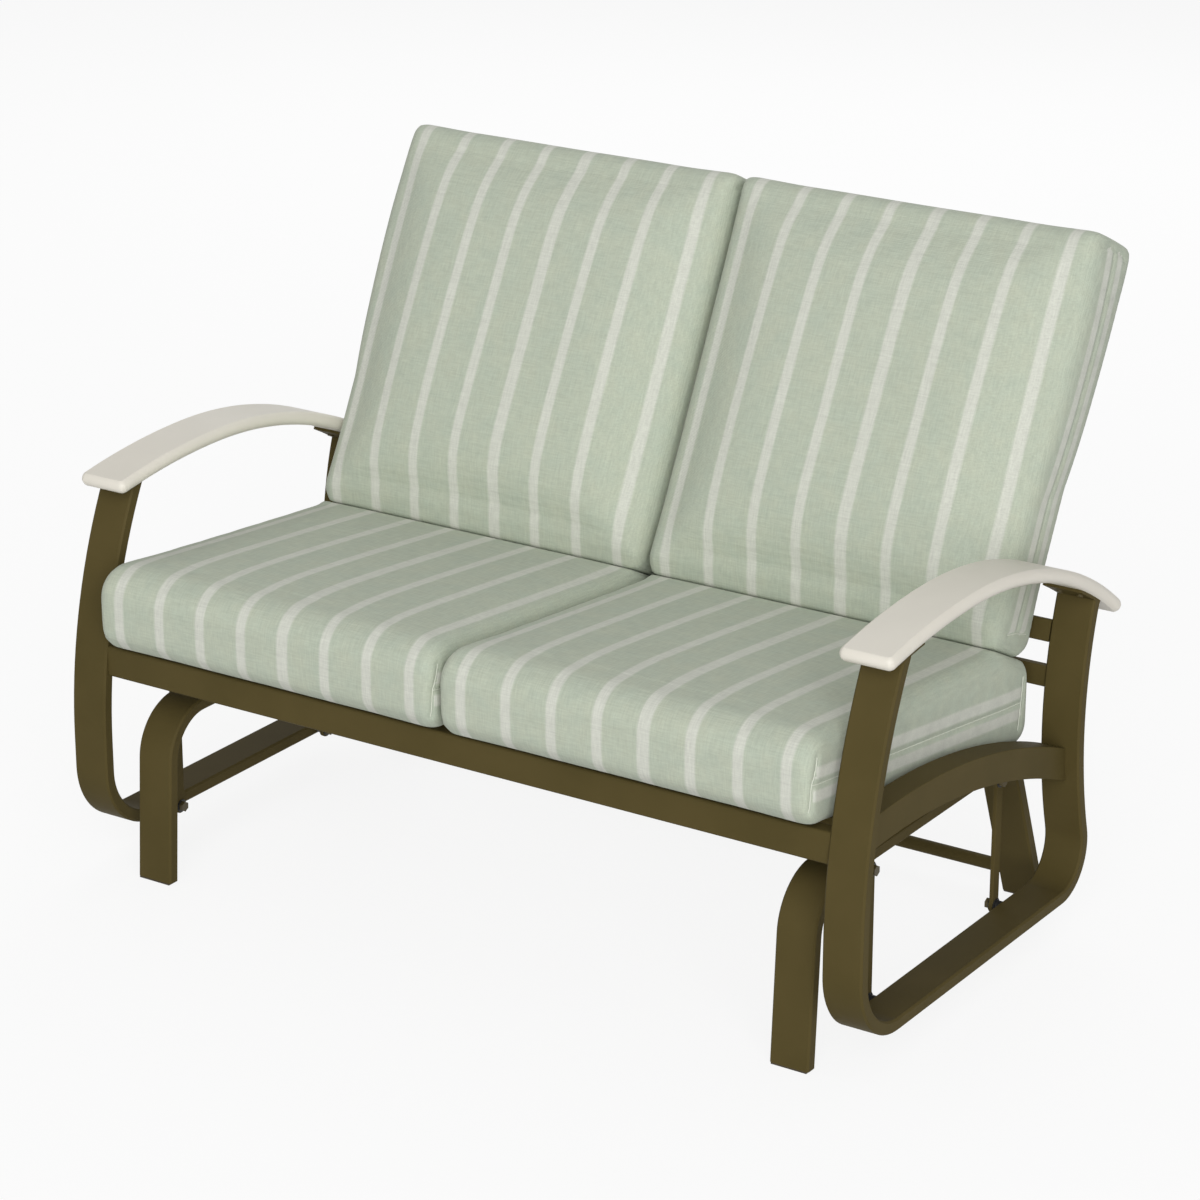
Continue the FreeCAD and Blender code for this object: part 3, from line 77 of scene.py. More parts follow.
METAL_PIECES = ("base_", "side_loop", "seat_front_rail", "seat_rear_rail", "seat_side_rail",
                "seat_slat", "seat_centre", "back_cross", "back_slat", "back_stile",
                "arm_plates", "hanger_")
METAL_NODES = [name for name in nodes if name.startswith(METAL_PIECES) and
               "bushes" not in name and "caps" not in name]


# Materials

def new_material(name):
    material = bpy.data.materials.new(name)
    material.use_nodes = True
    tree = material.node_tree
    tree.nodes.clear()
    output = tree.nodes.new("ShaderNodeOutputMaterial")
    return material, tree, output


def add_node(tree, kind, **values):
    """A node with its properties and inputs set, the inputs by name."""
    node = tree.nodes.new(kind)
    for key, value in values.items():
        if key in node.inputs:
            node.inputs[key].default_value = value
        elif hasattr(node, key):
            setattr(node, key, value)
        else:
            node.inputs[key.replace("_", " ")].default_value = value
    return node


def ramp(tree, stops):
    node = tree.nodes.new("ShaderNodeValToRGB")
    while len(node.color_ramp.elements) < len(stops):
        node.color_ramp.elements.new(0.5)
    for element, (position, colour) in zip(node.color_ramp.elements, stops):
        element.position = position
        element.color = (*colour, 1.0)
    return node


def srgb(red, green, blue):
    """A colour written as it looks on a screen, from 0 to 255, as linear numbers."""
    def linear(value):
        value /= 255
        return value / 12.92 if value <= 0.04045 else ((value + 0.055) / 1.055) ** 2.4
    return linear(red), linear(green), linear(blue)


def coated_metal(name, dark, light, roughness, grain, shine):
    """A powder coat: a slightly uneven colour with a fine orange-peel skin."""
    material, tree, output = new_material(name)
    coordinates = add_node(tree, "ShaderNodeTexCoord")
    cloud = add_node(tree, "ShaderNodeTexNoise", Scale=9.0, Detail=3.0)
    peel = add_node(tree, "ShaderNodeTexNoise", Scale=grain, Detail=2.0)
    colours = ramp(tree, [(0.3, dark), (0.7, light)])
    gloss = add_node(tree, "ShaderNodeMapRange")
    gloss.inputs["To Min"].default_value = roughness - 0.05
    gloss.inputs["To Max"].default_value = roughness + 0.06
    bump = add_node(tree, "ShaderNodeBump", Strength=0.12, Distance=0.0004)
    shader = add_node(tree, "ShaderNodeBsdfPrincipled")
    shader.inputs["Specular IOR Level"].default_value = shine
    link = tree.links.new
    link(coordinates.outputs["Object"], cloud.inputs["Vector"])
    link(coordinates.outputs["Object"], peel.inputs["Vector"])
    link(cloud.outputs["Fac"], colours.inputs["Fac"])
    link(colours.outputs["Color"], shader.inputs["Base Color"])
    link(peel.outputs["Fac"], gloss.inputs["Value"])
    link(gloss.outputs["Result"], shader.inputs["Roughness"])
    link(peel.outputs["Fac"], bump.inputs["Height"])
    link(bump.outputs["Normal"], shader.inputs["Normal"])
    link(shader.outputs["BSDF"], output.inputs["Surface"])
    return material


def moulded(name, colour, roughness, mottle=0.06, shine=0.4):
    """A moulded polymer or plain metal with a faint cloudiness."""
    dark = tuple(value * (1 - mottle) for value in colour)
    light = tuple(min(1.0, value * (1 + mottle)) for value in colour)
    return coated_metal(name, dark, light, roughness, grain=900.0, shine=shine)


STRIPE_BLEND = 0.034


def woven(name, ground, warm, stripe):
    """A heathered plain weave. The cover's own map gives, across the cloth, how far a point is
    from the middle of a stripe in stripe spacings, and beside it the half width of that stripe.
    The stripe's edge is soft by the blend, in stripe spacings too."""
    material, tree, output = new_material(name)
    link = tree.links.new
    cloth = add_node(tree, "ShaderNodeUVMap", uv_map="cloth")
    parts = add_node(tree, "ShaderNodeSeparateXYZ")
    link(cloth.outputs["UV"], parts.inputs["Vector"])
    near = add_node(tree, "ShaderNodeMath", operation="ROUND")
    offset = add_node(tree, "ShaderNodeMath", operation="SUBTRACT")
    distance = add_node(tree, "ShaderNodeMath", operation="ABSOLUTE")
    inside = add_node(tree, "ShaderNodeMath", operation="SUBTRACT")
    mask = add_node(tree, "ShaderNodeMapRange", interpolation_type="SMOOTHSTEP")
    mask.inputs["From Min"].default_value = -STRIPE_BLEND
    mask.inputs["From Max"].default_value = STRIPE_BLEND
    link(parts.outputs["X"], near.inputs[0])
    link(parts.outputs["X"], offset.inputs[0])
    link(near.outputs[0], offset.inputs[1])
    link(offset.outputs[0], distance.inputs[0])
    link(parts.outputs["Y"], inside.inputs[0])
    link(distance.outputs[0], inside.inputs[1])
    link(inside.outputs[0], mask.inputs["Value"])

    coordinates = add_node(tree, "ShaderNodeTexCoord")
    patches = add_node(tree, "ShaderNodeTexNoise", Scale=26.0, Detail=4.0, Roughness=0.65)
    link(coordinates.outputs["Object"], patches.inputs["Vector"])
    slubs = []
    for stretch in ((620.0, 45.0, 60.0), (45.0, 420.0, 620.0)):
        scale = add_node(tree, "ShaderNodeMapping")
        scale.inputs["Scale"].default_value = stretch
        slub = add_node(tree, "ShaderNodeTexNoise", Scale=1.0, Detail=2.0)
        link(coordinates.outputs["Object"], scale.inputs["Vector"])
        link(scale.outputs["Vector"], slub.inputs["Vector"])
        slubs.append(slub)
    threads = add_node(tree, "ShaderNodeMath", operation="ADD")
    link(slubs[0].outputs["Fac"], threads.inputs[0])
    link(slubs[1].outputs["Fac"], threads.inputs[1])

    ground_mix = add_node(tree, "ShaderNodeMix", data_type="RGBA")
    ground_mix.inputs[6].default_value = (*ground, 1)
    ground_mix.inputs[7].default_value = (*warm, 1)
    warmth = add_node(tree, "ShaderNodeMapRange")
    warmth.inputs["From Min"].default_value = 0.35
    warmth.inputs["From Max"].default_value = 0.72
    link(patches.outputs["Fac"], warmth.inputs["Value"])
    link(warmth.outputs["Result"], ground_mix.inputs["Factor"])
    stripe_mix = add_node(tree, "ShaderNodeMix", data_type="RGBA")
    stripe_mix.inputs[7].default_value = (*stripe, 1)
    link(mask.outputs["Result"], stripe_mix.inputs["Factor"])
    link(ground_mix.outputs[2], stripe_mix.inputs[6])
    shade = add_node(tree, "ShaderNodeMapRange")
    shade.inputs["From Min"].default_value = 0.6
    shade.inputs["From Max"].default_value = 1.4
    shade.inputs["To Min"].default_value = 0.88
    shade.inputs["To Max"].default_value = 1.10
    link(threads.outputs[0], shade.inputs["Value"])
    tint = add_node(tree, "ShaderNodeVectorMath", operation="SCALE")
    link(stripe_mix.outputs[2], tint.inputs[0])
    link(shade.outputs["Result"], tint.inputs["Scale"])

    weave = []
    for axis in ("X", "Z"):
        wave = add_node(tree, "ShaderNodeTexWave", bands_direction=axis, Scale=180.0, Distortion=1.2)
        link(coordinates.outputs["Object"], wave.inputs["Vector"])
        weave.append(wave)
    cross = add_node(tree, "ShaderNodeMath", operation="ADD")
    link(weave[0].outputs["Fac"], cross.inputs[0])
    link(weave[1].outputs["Fac"], cross.inputs[1])
    height = add_node(tree, "ShaderNodeMath", operation="ADD")
    link(cross.outputs[0], height.inputs[0])
    link(threads.outputs[0], height.inputs[1])
    bump = add_node(tree, "ShaderNodeBump", Strength=0.35, Distance=0.0004)
    link(height.outputs[0], bump.inputs["Height"])
    shader = add_node(tree, "ShaderNodeBsdfPrincipled", Roughness=0.92)
    shader.inputs["Sheen Weight"].default_value = 0.12
    shader.inputs["Sheen Roughness"].default_value = 0.5
    shader.inputs["Specular IOR Level"].default_value = 0.25
    link(tint.outputs["Vector"], shader.inputs["Base Color"])
    link(bump.outputs["Normal"], shader.inputs["Normal"])
    link(shader.outputs["BSDF"], output.inputs["Surface"])
    return material


bronze = coated_metal("bronze_coat", srgb(80, 70, 39), srgb(87, 76, 44),
                      roughness=0.58, grain=1500.0, shine=0.07)
polymer = moulded("arm_polymer", srgb(228, 223, 211), roughness=0.42, mottle=0.02)
brown_plastic = moulded("brown_plastic", srgb(62, 54, 40), roughness=0.5)
nylon = moulded("black_nylon", srgb(42, 42, 42), roughness=0.45)
fastener = coated_metal("bronzed_fastener", srgb(74, 64, 36), srgb(90, 79, 48),
                        roughness=0.42, grain=700.0, shine=0.35)
canvas = woven("striped_canvas", ground=srgb(182, 191, 174), warm=srgb(188, 194, 175),
               stripe=srgb(208, 210, 199))
# The sewn cords' light colour is a painted highlight along each seam's fold, laid on a real cord.
seam_highlight = moulded("seam_painted_highlight", srgb(214, 218, 204), roughness=0.8)
SLOT_MATERIAL = {"frame": bronze, "arm": polymer, "cap": brown_plastic, "bush": nylon,
                 "zinc": fastener, "fabric": canvas}


def dress(item, material):
    item.data.materials.clear()
    item.data.materials.append(material)


for subpart in frame["record"]["subparts"]:
    dress(nodes[subpart["node"]], SLOT_MATERIAL[subpart["material_slot"]])


# Tubes, planks and bars with rolled edges

def new_object(name, mesh):
    item = bpy.data.objects.new(name, mesh)
    bpy.context.scene.collection.objects.link(item)
    return item


ROLLED_EDGE = 0.0009
SHARP_ANGLE = math.radians(28)
FLAT_ANGLE = math.radians(0.4)


def rolled_copy(node):
    """The solid node again, with its sharp edges rolled over by a small radius."""
    mesh = bmesh.new()
    mesh.from_mesh(nodes[node].data)
    bmesh.ops.remove_doubles(mesh, verts=mesh.verts, dist=0.00001)
    bmesh.ops.dissolve_limit(mesh, angle_limit=FLAT_ANGLE, verts=mesh.verts, edges=mesh.edges)
    sharp = [edge for edge in mesh.edges
             if len(edge.link_faces) == 2 and edge.calc_face_angle(0) > SHARP_ANGLE]
    bmesh.ops.bevel(mesh, geom=sharp, offset=ROLLED_EDGE, segments=3, profile=0.5,
                    affect="EDGES", clamp_overlap=True)
    for face in mesh.faces:
        face.smooth = True
    data = bpy.data.meshes.new("%s_rolled" % node)
    mesh.to_mesh(data)
    mesh.free()
    item = new_object("%s_rolled" % node, data)
    weighted = item.modifiers.new("weighted_normals", "WEIGHTED_NORMAL")
    weighted.keep_sharp = True
    return item


for node in METAL_NODES:
    tube = rolled_copy(node)
    dress(tube, bronze)
    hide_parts(node)
    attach(tube, nodes[node]["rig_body"])


# Arms

CREST_DEPTH, CREST_HEIGHT = 0.235 - SETBACK, 0.590
FRONT_CURVE, REAR_CURVE = 1.150, 0.690
ARM_HALF = 0.0095
ARM_NOSE = 0.0062
ARM_CORNER = 0.004
FRONT_END, REAR_END = 0.021 - SETBACK, 0.650 - SETBACK
ARM_STEPS = 64
NOSE_STEPS = 8
CREASE_ANGLE = math.radians(18)
CORNER_STEPS = 4
CORNER_TURN = 90 / CORNER_STEPS


def on_arm(run, rise):
    """A point of the arm's middle sheet, a run of arc from the crest, and so far above it."""
    curve = FRONT_CURVE if run < 0 else REAR_CURVE
    angle = run / (curve - ARM_HALF)
    reach = curve - ARM_HALF + rise
    return CREST_DEPTH + reach * math.sin(angle), CREST_HEIGHT - curve + reach * math.cos(angle)


def quarter(run, across, first):
    """Anchors on one spot of the rim, whose ways out turn by even steps of a quarter turn, from
    the first one in degrees."""
    turns = [math.radians(first + CORNER_TURN * step) for step in range(CORNER_STEPS)]
    return [(run, across, math.sin(turn), math.cos(turn)) for turn in turns]


def arm_rim(half):
    """The arm's plan as anchors along its rim, each with its way out: one long side, the rear
    end, the other long side and the front end."""
    near = half - ARM_NOSE - ARM_CORNER
    tips = []
    for end, curve in ((FRONT_END, FRONT_CURVE), (REAR_END, REAR_CURVE)):
        inward = ARM_HALF if end < CREST_DEPTH else -ARM_HALF
        mid = curve - ARM_HALF
        run = mid * math.asin((end + inward - CREST_DEPTH) / mid)
        slack = ARM_HALF - ARM_NOSE - ARM_CORNER
        tips.append(run - slack if run < 0 else run + slack)
    front, rear = tips
    stations = [front + (rear - front) * number / ARM_STEPS for number in range(ARM_STEPS + 1)]
    rim = [(run, near, 0, 1) for run in stations]
    rim += quarter(rear, near, CORNER_TURN) + quarter(rear, -near, 90)
    rim += [(run, -near, 0, -1) for run in reversed(stations)]
    rim += quarter(front, -near, 180 + CORNER_TURN) + quarter(front, near, 270)
    return rim


def plank_arm(node):
    """A bent plank whose nose is a low arc, so a crease runs round its flat upper face."""
    low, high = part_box(node)
    middle, rim = (low.x + high.x) / 2, arm_rim((high.x - low.x) / 2)
    nose = (ARM_HALF ** 2 + ARM_NOSE ** 2) / (2 * ARM_NOSE)
    spread = math.asin(ARM_HALF / nose)
    mesh = bmesh.new()
    rings = []
    for number in range(NOSE_STEPS + 1):
        angle = spread * (1 - 2 * number / NOSE_STEPS)
        out = ARM_CORNER + nose * math.cos(angle) - nose + ARM_NOSE
        ring = []
        for run, across, run_out, across_out in rim:
            y, z = on_arm(run + out * run_out, nose * math.sin(angle))
            ring.append(mesh.verts.new((middle + across + out * across_out, y, z)))
        rings.append(ring)
    count, side, end = len(rim), ARM_STEPS + 1, 2 * CORNER_STEPS
    for upper, lower in zip(rings, rings[1:]):
        for here in range(count):
            after = (here + 1) % count
            mesh.faces.new((upper[here], upper[after], lower[after], lower[here]))
    for ring in (rings[0], rings[-1]):
        opposite = list(reversed(ring[side + end:2 * side + end]))
        for here in range(side - 1):
            mesh.faces.new((ring[here], ring[here + 1], opposite[here + 1], opposite[here]))
        mesh.faces.new(ring[side - 1:side + end + 1])
        mesh.faces.new(ring[2 * side + end - 1:] + ring[:1])
    bmesh.ops.recalc_face_normals(mesh, faces=mesh.faces)
    for face in mesh.faces:
        face.smooth = True
    for edge in mesh.edges:
        edge.smooth = edge.calc_face_angle(0) < CREASE_ANGLE
    data = bpy.data.meshes.new("%s_plank" % node)
    mesh.to_mesh(data)
    mesh.free()
    item = new_object("%s_plank" % node, data)
    dress(item, polymer)
    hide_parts(node)
    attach(item, nodes[node]["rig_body"])


for node in ("arm_left", "arm_right"):
    plank_arm(node)


# Cushions

# The spacing and half widths of the stripes, of which the one beside the middle is wider. Its
# reach, in spacings, holds that stripe and none of its neighbours.
STRIPE_PITCH = 0.0690
STRIPE_HALF = 0.0076
WIDE_HALF = 0.0092
WIDE_REACH = 0.45
SIDE_HALF = 0.0076

# The block that a cover starts as: the width over which it draws in at its sides, the steps of
# that roll and of its rounded corners, the smallest corner, and the size of its even quads
FLANK = 0.018
ROLL_STEPS, ROUND_STEPS = 6, 8
LEAST_RADIUS = 0.006
QUAD_SIZE = 0.006

# How a cover swells: the small start that the block is shrunk by, the crown of its narrow
# faces, the height above which it bulges sideways over the arms and how far, and the power that
# makes the swelling fuller towards the rims, with the smallest share of it that is told apart.
# A point lies on the broad face if the cosine between its normal and the face's is above FACING.
SWELL_START = 0.002
SIDE_CROWN = 0.006
OVER_ARM = 0.595
SIDE_BULGE = 0.0105
FULLNESS = 0.85
LEAST_SHARE = 0.001
FACING = 0.98

# The simulation's frames, the passes that even its move before and after it is scaled, the share
# of any inward move that is taken away, and how near a face has to be to what the cushion rests
# on to be laid flat there, with the blend beyond it
CLOTH_FRAMES = 20
EVENED_FIRST, EVENED_LAST = 40, 20
HELD_BACK = 0.8
REST_REACH, REST_BLEND = 0.006, 0.005

# A seam's groove, how many widths away it has faded out, and the radius of the sewn line in it
GROOVE_DEPTH, GROOVE_WIDTH, GROOVE_REACH = 0.0022, 0.0035, 2.5
THREAD_RADIUS = 0.0008

# A seam is laid on the cover from this far outside it, and looks for the cover this far
OUTSIDE, RAY_REACH = 0.05, 0.12


class Form:
    """One cushion seen from the side: its outline in depth and height, drawn anticlockwise.

    Each corner is a depth, a height and a radius, and each edge runs to the next corner and has
    a rim, how far it rolls over into the sides. The edges of the two broad faces that the cloth
    wraps are named by number, and so are the edges that rest against something. The side seam
    has a short cross line at each end, given by its two tips along and above the seam's end, and
    a stripe on each side, given by its height over the seam. The sewn lines that get a light cord,
    a painted highlight along the seam's fold, are named by number. The crown is how far the broad
    face swells at its middle, and the lean is the share by which it swells more at the seam's end
    than at its start.
    """

    def __init__(self, corners, rims, faces, stops, seam, tips, stripes, sewn, crown, lean, outer):
        self.corners, self.rims, self.tips = corners, rims, tips
        self.stripes, self.sewn = stripes, sewn
        self.planes = []
        for (y, z, _), (next_y, next_z, _) in zip(corners, corners[1:] + corners[:1]):
            out = Vector((0, next_z - z, y - next_y)).normalized()
            self.planes.append((Vector((0, y, z)), out))
        self.faces = [self.planes[number] for number in faces]
        self.stops = [self.planes[number] for number in stops]
        self.start, end = (Vector((0, *spot)) for spot in seam)
        self.length = (end - self.start).length
        self.along = (end - self.start) / self.length
        self.up = Vector((0, -self.along.z, self.along.y))
        self.crown, self.lean, self.outer = crown, lean, outer

    def place(self, point):
        """How far a point is along the seam and above it."""
        offset = Vector((0, point.y, point.z)) - self.start
        return offset.dot(self.along), offset.dot(self.up)

    def at(self, along, up, x):
        """The point so far along the seam and above it, at a place across."""
        spot = self.start + self.along * along + self.up * up
        return Vector((x, spot.y, spot.z))

    def outline(self, share):
        """The outline drawn in by a share of each edge's rim, its corners rounded."""
        points = []
        for number, (spot, out) in enumerate(self.planes):
            last_spot, last_out = self.planes[number - 1]
            reach = out.dot(spot) - self.rims[number] * share
            last_reach = last_out.dot(last_spot) - self.rims[number - 1] * share
            cross = last_out.y * out.z - last_out.z * out.y
            corner = Vector((0, (last_reach * out.z - reach * last_out.z) / cross,
                             (reach * last_out.y - last_reach * out.y) / cross))
            drawn_in = share * (self.rims[number] + self.rims[number - 1]) / 2
            radius = max(LEAST_RADIUS, self.corners[number][2] - drawn_in)
            centre = corner - (out + last_out) * radius / (1 + out.dot(last_out))
            points += [centre + last_out.slerp(out, step / ROUND_STEPS) * radius
                       for step in range(ROUND_STEPS + 1)]
        return points

    def between_ends(self, along, up):
        """Whether a spot of the side lies between the cross lines at the two ends of the seam."""
        starts = []
        for tips in self.tips:
            tip = tips[0] if up > 0 else tips[1]
            starts.append(tip[0] * min(1, up / tip[1]))
        return starts[0] < along < self.length + starts[1]

    def depth(self, point):
        """How deep a point lies under the nearer of the two broad faces."""
        return min((spot - point).dot(out) for spot, out in self.faces)


def apply_modifiers(item):
    graph = bpy.context.evaluated_depsgraph_get()
    mesh = bpy.data.meshes.new_from_object(item.evaluated_get(graph))
    old = item.data
    item.modifiers.clear()
    item.data = mesh
    bpy.data.meshes.remove(old)


def cover_block(name, form, inner, outer):
    """The start of a cover: sections of the outline that draw in towards both sides, in even quads."""
    mesh = bmesh.new()
    rolls = [math.radians(90 / ROLL_STEPS * step) for step in range(ROLL_STEPS + 1)]
    sections = [(inner + FLANK * (1 - math.sin(roll)), 1 - math.cos(roll)) for roll in reversed(rolls)]
    sections += [(outer - FLANK * (1 - math.sin(roll)), 1 - math.cos(roll)) for roll in rolls]
    rows = [[mesh.verts.new((x, spot.y, spot.z)) for spot in form.outline(share)]
            for x, share in sections]
    for row, beside in zip(rows, rows[1:]):
        for here in range(len(row)):
            mesh.faces.new((row[here - 1], row[here], beside[here], beside[here - 1]))
    mesh.faces.new(rows[0])
    mesh.faces.new(rows[-1])
    bmesh.ops.recalc_face_normals(mesh, faces=mesh.faces)
    data = bpy.data.meshes.new(name)
    mesh.to_mesh(data)
    mesh.free()
    item = new_object(name, data)
    remesh = item.modifiers.new("remesh", "REMESH")
    remesh.mode = "VOXEL"
    remesh.voxel_size = QUAD_SIZE
    shrink = item.modifiers.new("shrink", "DISPLACE")
    shrink.strength = -SWELL_START
    shrink.mid_level = 0
    apply_modifiers(item)
    return item


def numbers_of(collection, name, width):
    """One property of all points or edges of a mesh, as an array with a row for each."""
    flat = np.empty(len(collection) * width, dtype=np.int64 if name == "vertices" else np.float64)
    collection.foreach_get(name, flat)
    return flat.reshape(-1, width)


def evened(field, edges, passes):
    """A field of moves, averaged over neighbouring points again and again."""
    count = np.zeros(len(field))
    for side in (0, 1):
        np.add.at(count, edges[:, side], 1)
    for _ in range(passes):
        total = np.zeros_like(field)
        np.add.at(total, edges[:, 0], field[edges[:, 1]])
        np.add.at(total, edges[:, 1], field[edges[:, 0]])
        field = 0.5 * field + 0.5 * total / count[:, None]
    return field


def swell(item):
    """The move of each point of a cover when a cloth simulation blows it up."""
    rest = numbers_of(item.data.vertices, "co", 3)
    cloth = item.modifiers.new("cloth", "CLOTH")
    settings = cloth.settings
    settings.quality = 4
    settings.mass = 0.3
    settings.tension_stiffness = 15
    settings.compression_stiffness = 15
    settings.shear_stiffness = 5
    settings.bending_stiffness = 1.5
    settings.use_pressure = True
    settings.uniform_pressure_force = 4
    settings.effector_weights.gravity = 0
    cloth.collision_settings.use_collision = False
    for number in range(CLOTH_FRAMES):
        bpy.context.scene.frame_set(number + 1)
    graph = bpy.context.evaluated_depsgraph_get()
    blown = item.evaluated_get(graph).to_mesh()
    move = numbers_of(blown.vertices, "co", 3) - rest
    item.evaluated_get(graph).to_mesh_clear()
    item.modifiers.clear()
    bpy.context.scene.frame_set(1)
    return move


def crowned(move, rest, normals, form):
    """The simulated move scaled so that the middle of the broad face rises by the crown."""
    out = np.array(form.faces[0][1])
    risen = (move @ out)[normals @ out > FACING].max()
    strength = np.maximum(LEAST_SHARE, np.linalg.norm(move, axis=1) / risen)
    share = np.clip((rest - np.array(form.start)) @ np.array(form.along) / form.length, 0, 1)
    scale = form.crown / risen * strength ** (FULLNESS - 1) * (1 + form.lean * share)
    return move * scale[:, None]


def held(move, normals, form):
    """The move with what draws in mostly taken away, and the narrow faces held to their crown."""
    inward = np.minimum(0, (move * normals).sum(axis=1))
    move = move - HELD_BACK * (inward[:, None] * normals)
    for plane in form.planes:
        if plane != form.faces[0]:
            out = np.array(plane[1])
            faced = np.maximum(0, normals @ out) ** 2
            cut = np.maximum(0, move @ out - SIDE_CROWN) * faced
            move = move - cut[:, None] * out
    return move


def rested(spots, rest, form):
    """The swollen points put back on the planes that the cushion rests against."""
    for spot, out in form.stops:
        spot, out = np.array(spot), np.array(out)
        past = (spots - spot) @ out
        near = (rest - spot) @ out
        share = np.clip((near + SWELL_START + REST_REACH) / REST_BLEND, 0, 1)
        lift = np.where(past > 0, -past, -past * share)
        spots = spots + lift[:, None] * out
    return spots


def inflate(item, form, inner):
    """Swell a cover by the simulated move, which is evened, scaled to the crown, held back and
    stopped at what the cushion rests on. A tall cushion also bulges sideways above the arms."""
    mesh = item.data
    rest = numbers_of(mesh.vertices, "co", 3)
    normals = numbers_of(mesh.vertices, "normal", 3)
    edges = numbers_of(mesh.edges, "vertices", 2)
    move = crowned(evened(swell(item), edges, EVENED_FIRST), rest, normals, form)
    move = evened(held(move, normals, form), edges, EVENED_LAST)
    spots = rested(rest + move, rest, form)
    across, top = np.clip(spots[:, 0], inner, form.outer), spots[:, 2].max()
    if top > OVER_ARM:
        over = np.clip((spots[:, 2] - OVER_ARM) / (top - OVER_ARM), 0, 1)
        bulge = SIDE_BULGE * (1 - (1 - over) ** 4) * (1 - over ** 6)
        across = across + bulge * (across - inner) / (form.outer - inner)
    spots[:, 0] = across
    mesh.vertices.foreach_set("co", spots.ravel())
    mesh.update()


def smooth_surface(item):
    divide = item.modifiers.new("divide", "SUBSURF")
    divide.levels = divide.render_levels = 1
    apply_modifiers(item)
    for polygon in item.data.polygons:
        polygon.use_smooth = True


def lay_stripes(item, middle, half, form, shift):
    """Give each corner its place in the stripes. The top, bottom and ends share one run of
    cloth, and each side is a strip with two stripes, one on each side of its seam. The stripe
    next to the middle, on the right, is the wide one."""
    data = item.data
    layer = data.uv_layers.new(name="cloth")
    upper, lower = form.stripes
    for polygon in data.polygons:
        centre = polygon.center
        along, up = form.place(centre)
        on_side = (half - abs(centre.x - middle) < form.depth(centre) and
                   form.between_ends(along, up))
        for loop in polygon.loop_indices:
            point = data.vertices[data.loops[loop].vertex_index].co
            if on_side:
                rise = form.place(point)[1] - (upper if up > (upper + lower) / 2 else lower)
                layer.data[loop].uv = (rise / STRIPE_PITCH, SIDE_HALF / STRIPE_PITCH)
            else:
                across = (point.x - middle - shift) / STRIPE_PITCH - 0.5
                wide = abs(across) < WIDE_REACH
                layer.data[loop].uv = (across, (WIDE_HALF if wide else STRIPE_HALF) / STRIPE_PITCH)


def crease(item, lines, depth, width):
    """Press narrow grooves into a cover along seam lines, each a list of points."""
    samples = [point for line in lines for point in line]
    tree = KDTree(len(samples))
    for number, point in enumerate(samples):
        tree.insert(point, number)
    tree.balance()
    pressed = []
    for vertex in item.data.vertices:
        distance = tree.find(vertex.co)[2]
        if distance < GROOVE_REACH * width:
            pressed.append((vertex, vertex.normal * depth * math.exp(-(distance / width) ** 2)))
    for vertex, move in pressed:
        vertex.co -= move


def on_surface(tree, points, side):
    """The points of a seam moved onto the cover from outside it, along X."""
    found = []
    for point in points:
        start = Vector((point.x + side * OUTSIDE, point.y, point.z))
        hit = tree.ray_cast(start, Vector((-side, 0, 0)), RAY_REACH)[0]
        if hit is not None:
            found.append(hit)
    return found


def surface_tree(item):
    return BVHTree.FromObject(item, bpy.context.evaluated_depsgraph_get())


def stitched_highlight(name, points, radius):
    """A fine sewn line that follows a seam, closed at both ends. Its light colour is a painted
    highlight along the seam's fold.
    """
    curve = bpy.data.curves.new(name, "CURVE")
    curve.dimensions = "3D"
    curve.bevel_depth = radius
    curve.bevel_resolution = 2
    curve.use_fill_caps = True
    spline = curve.splines.new("POLY")
    spline.points.add(len(points) - 1)
    for target, point in zip(spline.points, points):
        target.co = (*point, 1)
    drawn = new_object(name, curve)
    mesh = bpy.data.meshes.new_from_object(drawn.evaluated_get(bpy.context.evaluated_depsgraph_get()))
    bpy.data.objects.remove(drawn)
    item = new_object(name, mesh)
    for polygon in mesh.polygons:
        polygon.use_smooth = True
    dress(item, seam_highlight)
    return item


def steps(start, end, spacing=0.004):
    """Even points along a straight run, both ends included."""
    count = max(2, int((end - start).length / spacing))
    return [start.lerp(end, number / count) for number in range(count + 1)]


# Each side has its long seam and a cross line at each end of it
SEAM_RUNS = 3


def seam_runs(form, x):
    """The long seam of a side, and the short one across it at each end."""
    runs = [steps(form.at(0, 0, x), form.at(form.length, 0, x))]
    for end, tips in zip((0, form.length), form.tips):
        bend = form.at(end, 0, x)
        first, last = (form.at(end + along, up, x) for along, up in tips)
        runs.append(steps(first, bend) + steps(bend, last)[1:])
    return runs


def finish_cushion(item, node, form, shift):
    """Stripes, seams and material on a swollen cover, which then stands for the solid."""
    low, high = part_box(node)
    middle, half = (low.x + high.x) / 2, (high.x - low.x) / 2
    lay_stripes(item, middle, half, form, shift)
    smooth_surface(item)
    dress(item, canvas)
    tree = surface_tree(item)
    lines = [(side, on_surface(tree, run, side))
             for side in (-1, 1) for run in seam_runs(form, middle + side * half)]
    crease(item, [line for _, line in lines], GROOVE_DEPTH, GROOVE_WIDTH)
    tree = surface_tree(item)
    for number, (side, line) in enumerate(lines):
        # The chosen sewn lines get a cord in a light colour, a painted highlight along the seam.
        if number % SEAM_RUNS in form.sewn:
            name = "%s_seam_%d" % (node, number + 1)
            highlight_cord = stitched_highlight(name, on_surface(tree, line, side), THREAD_RADIUS)
            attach(highlight_cord, "seat")
    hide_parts(node)
    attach(item, "seat")


def tilted(behind, rise):
    """A spot given behind and along the reclined back, as depth and height."""
    y = behind * math.cos(RECLINE) + rise * math.sin(RECLINE)
    z = rise * math.cos(RECLINE) - behind * math.sin(RECLINE)
    return y - SETBACK, z


def level(depth, height, slope):
    """A height on a sloping plane: the height at the front feet, and its fall to the back."""
    return height - depth * slope


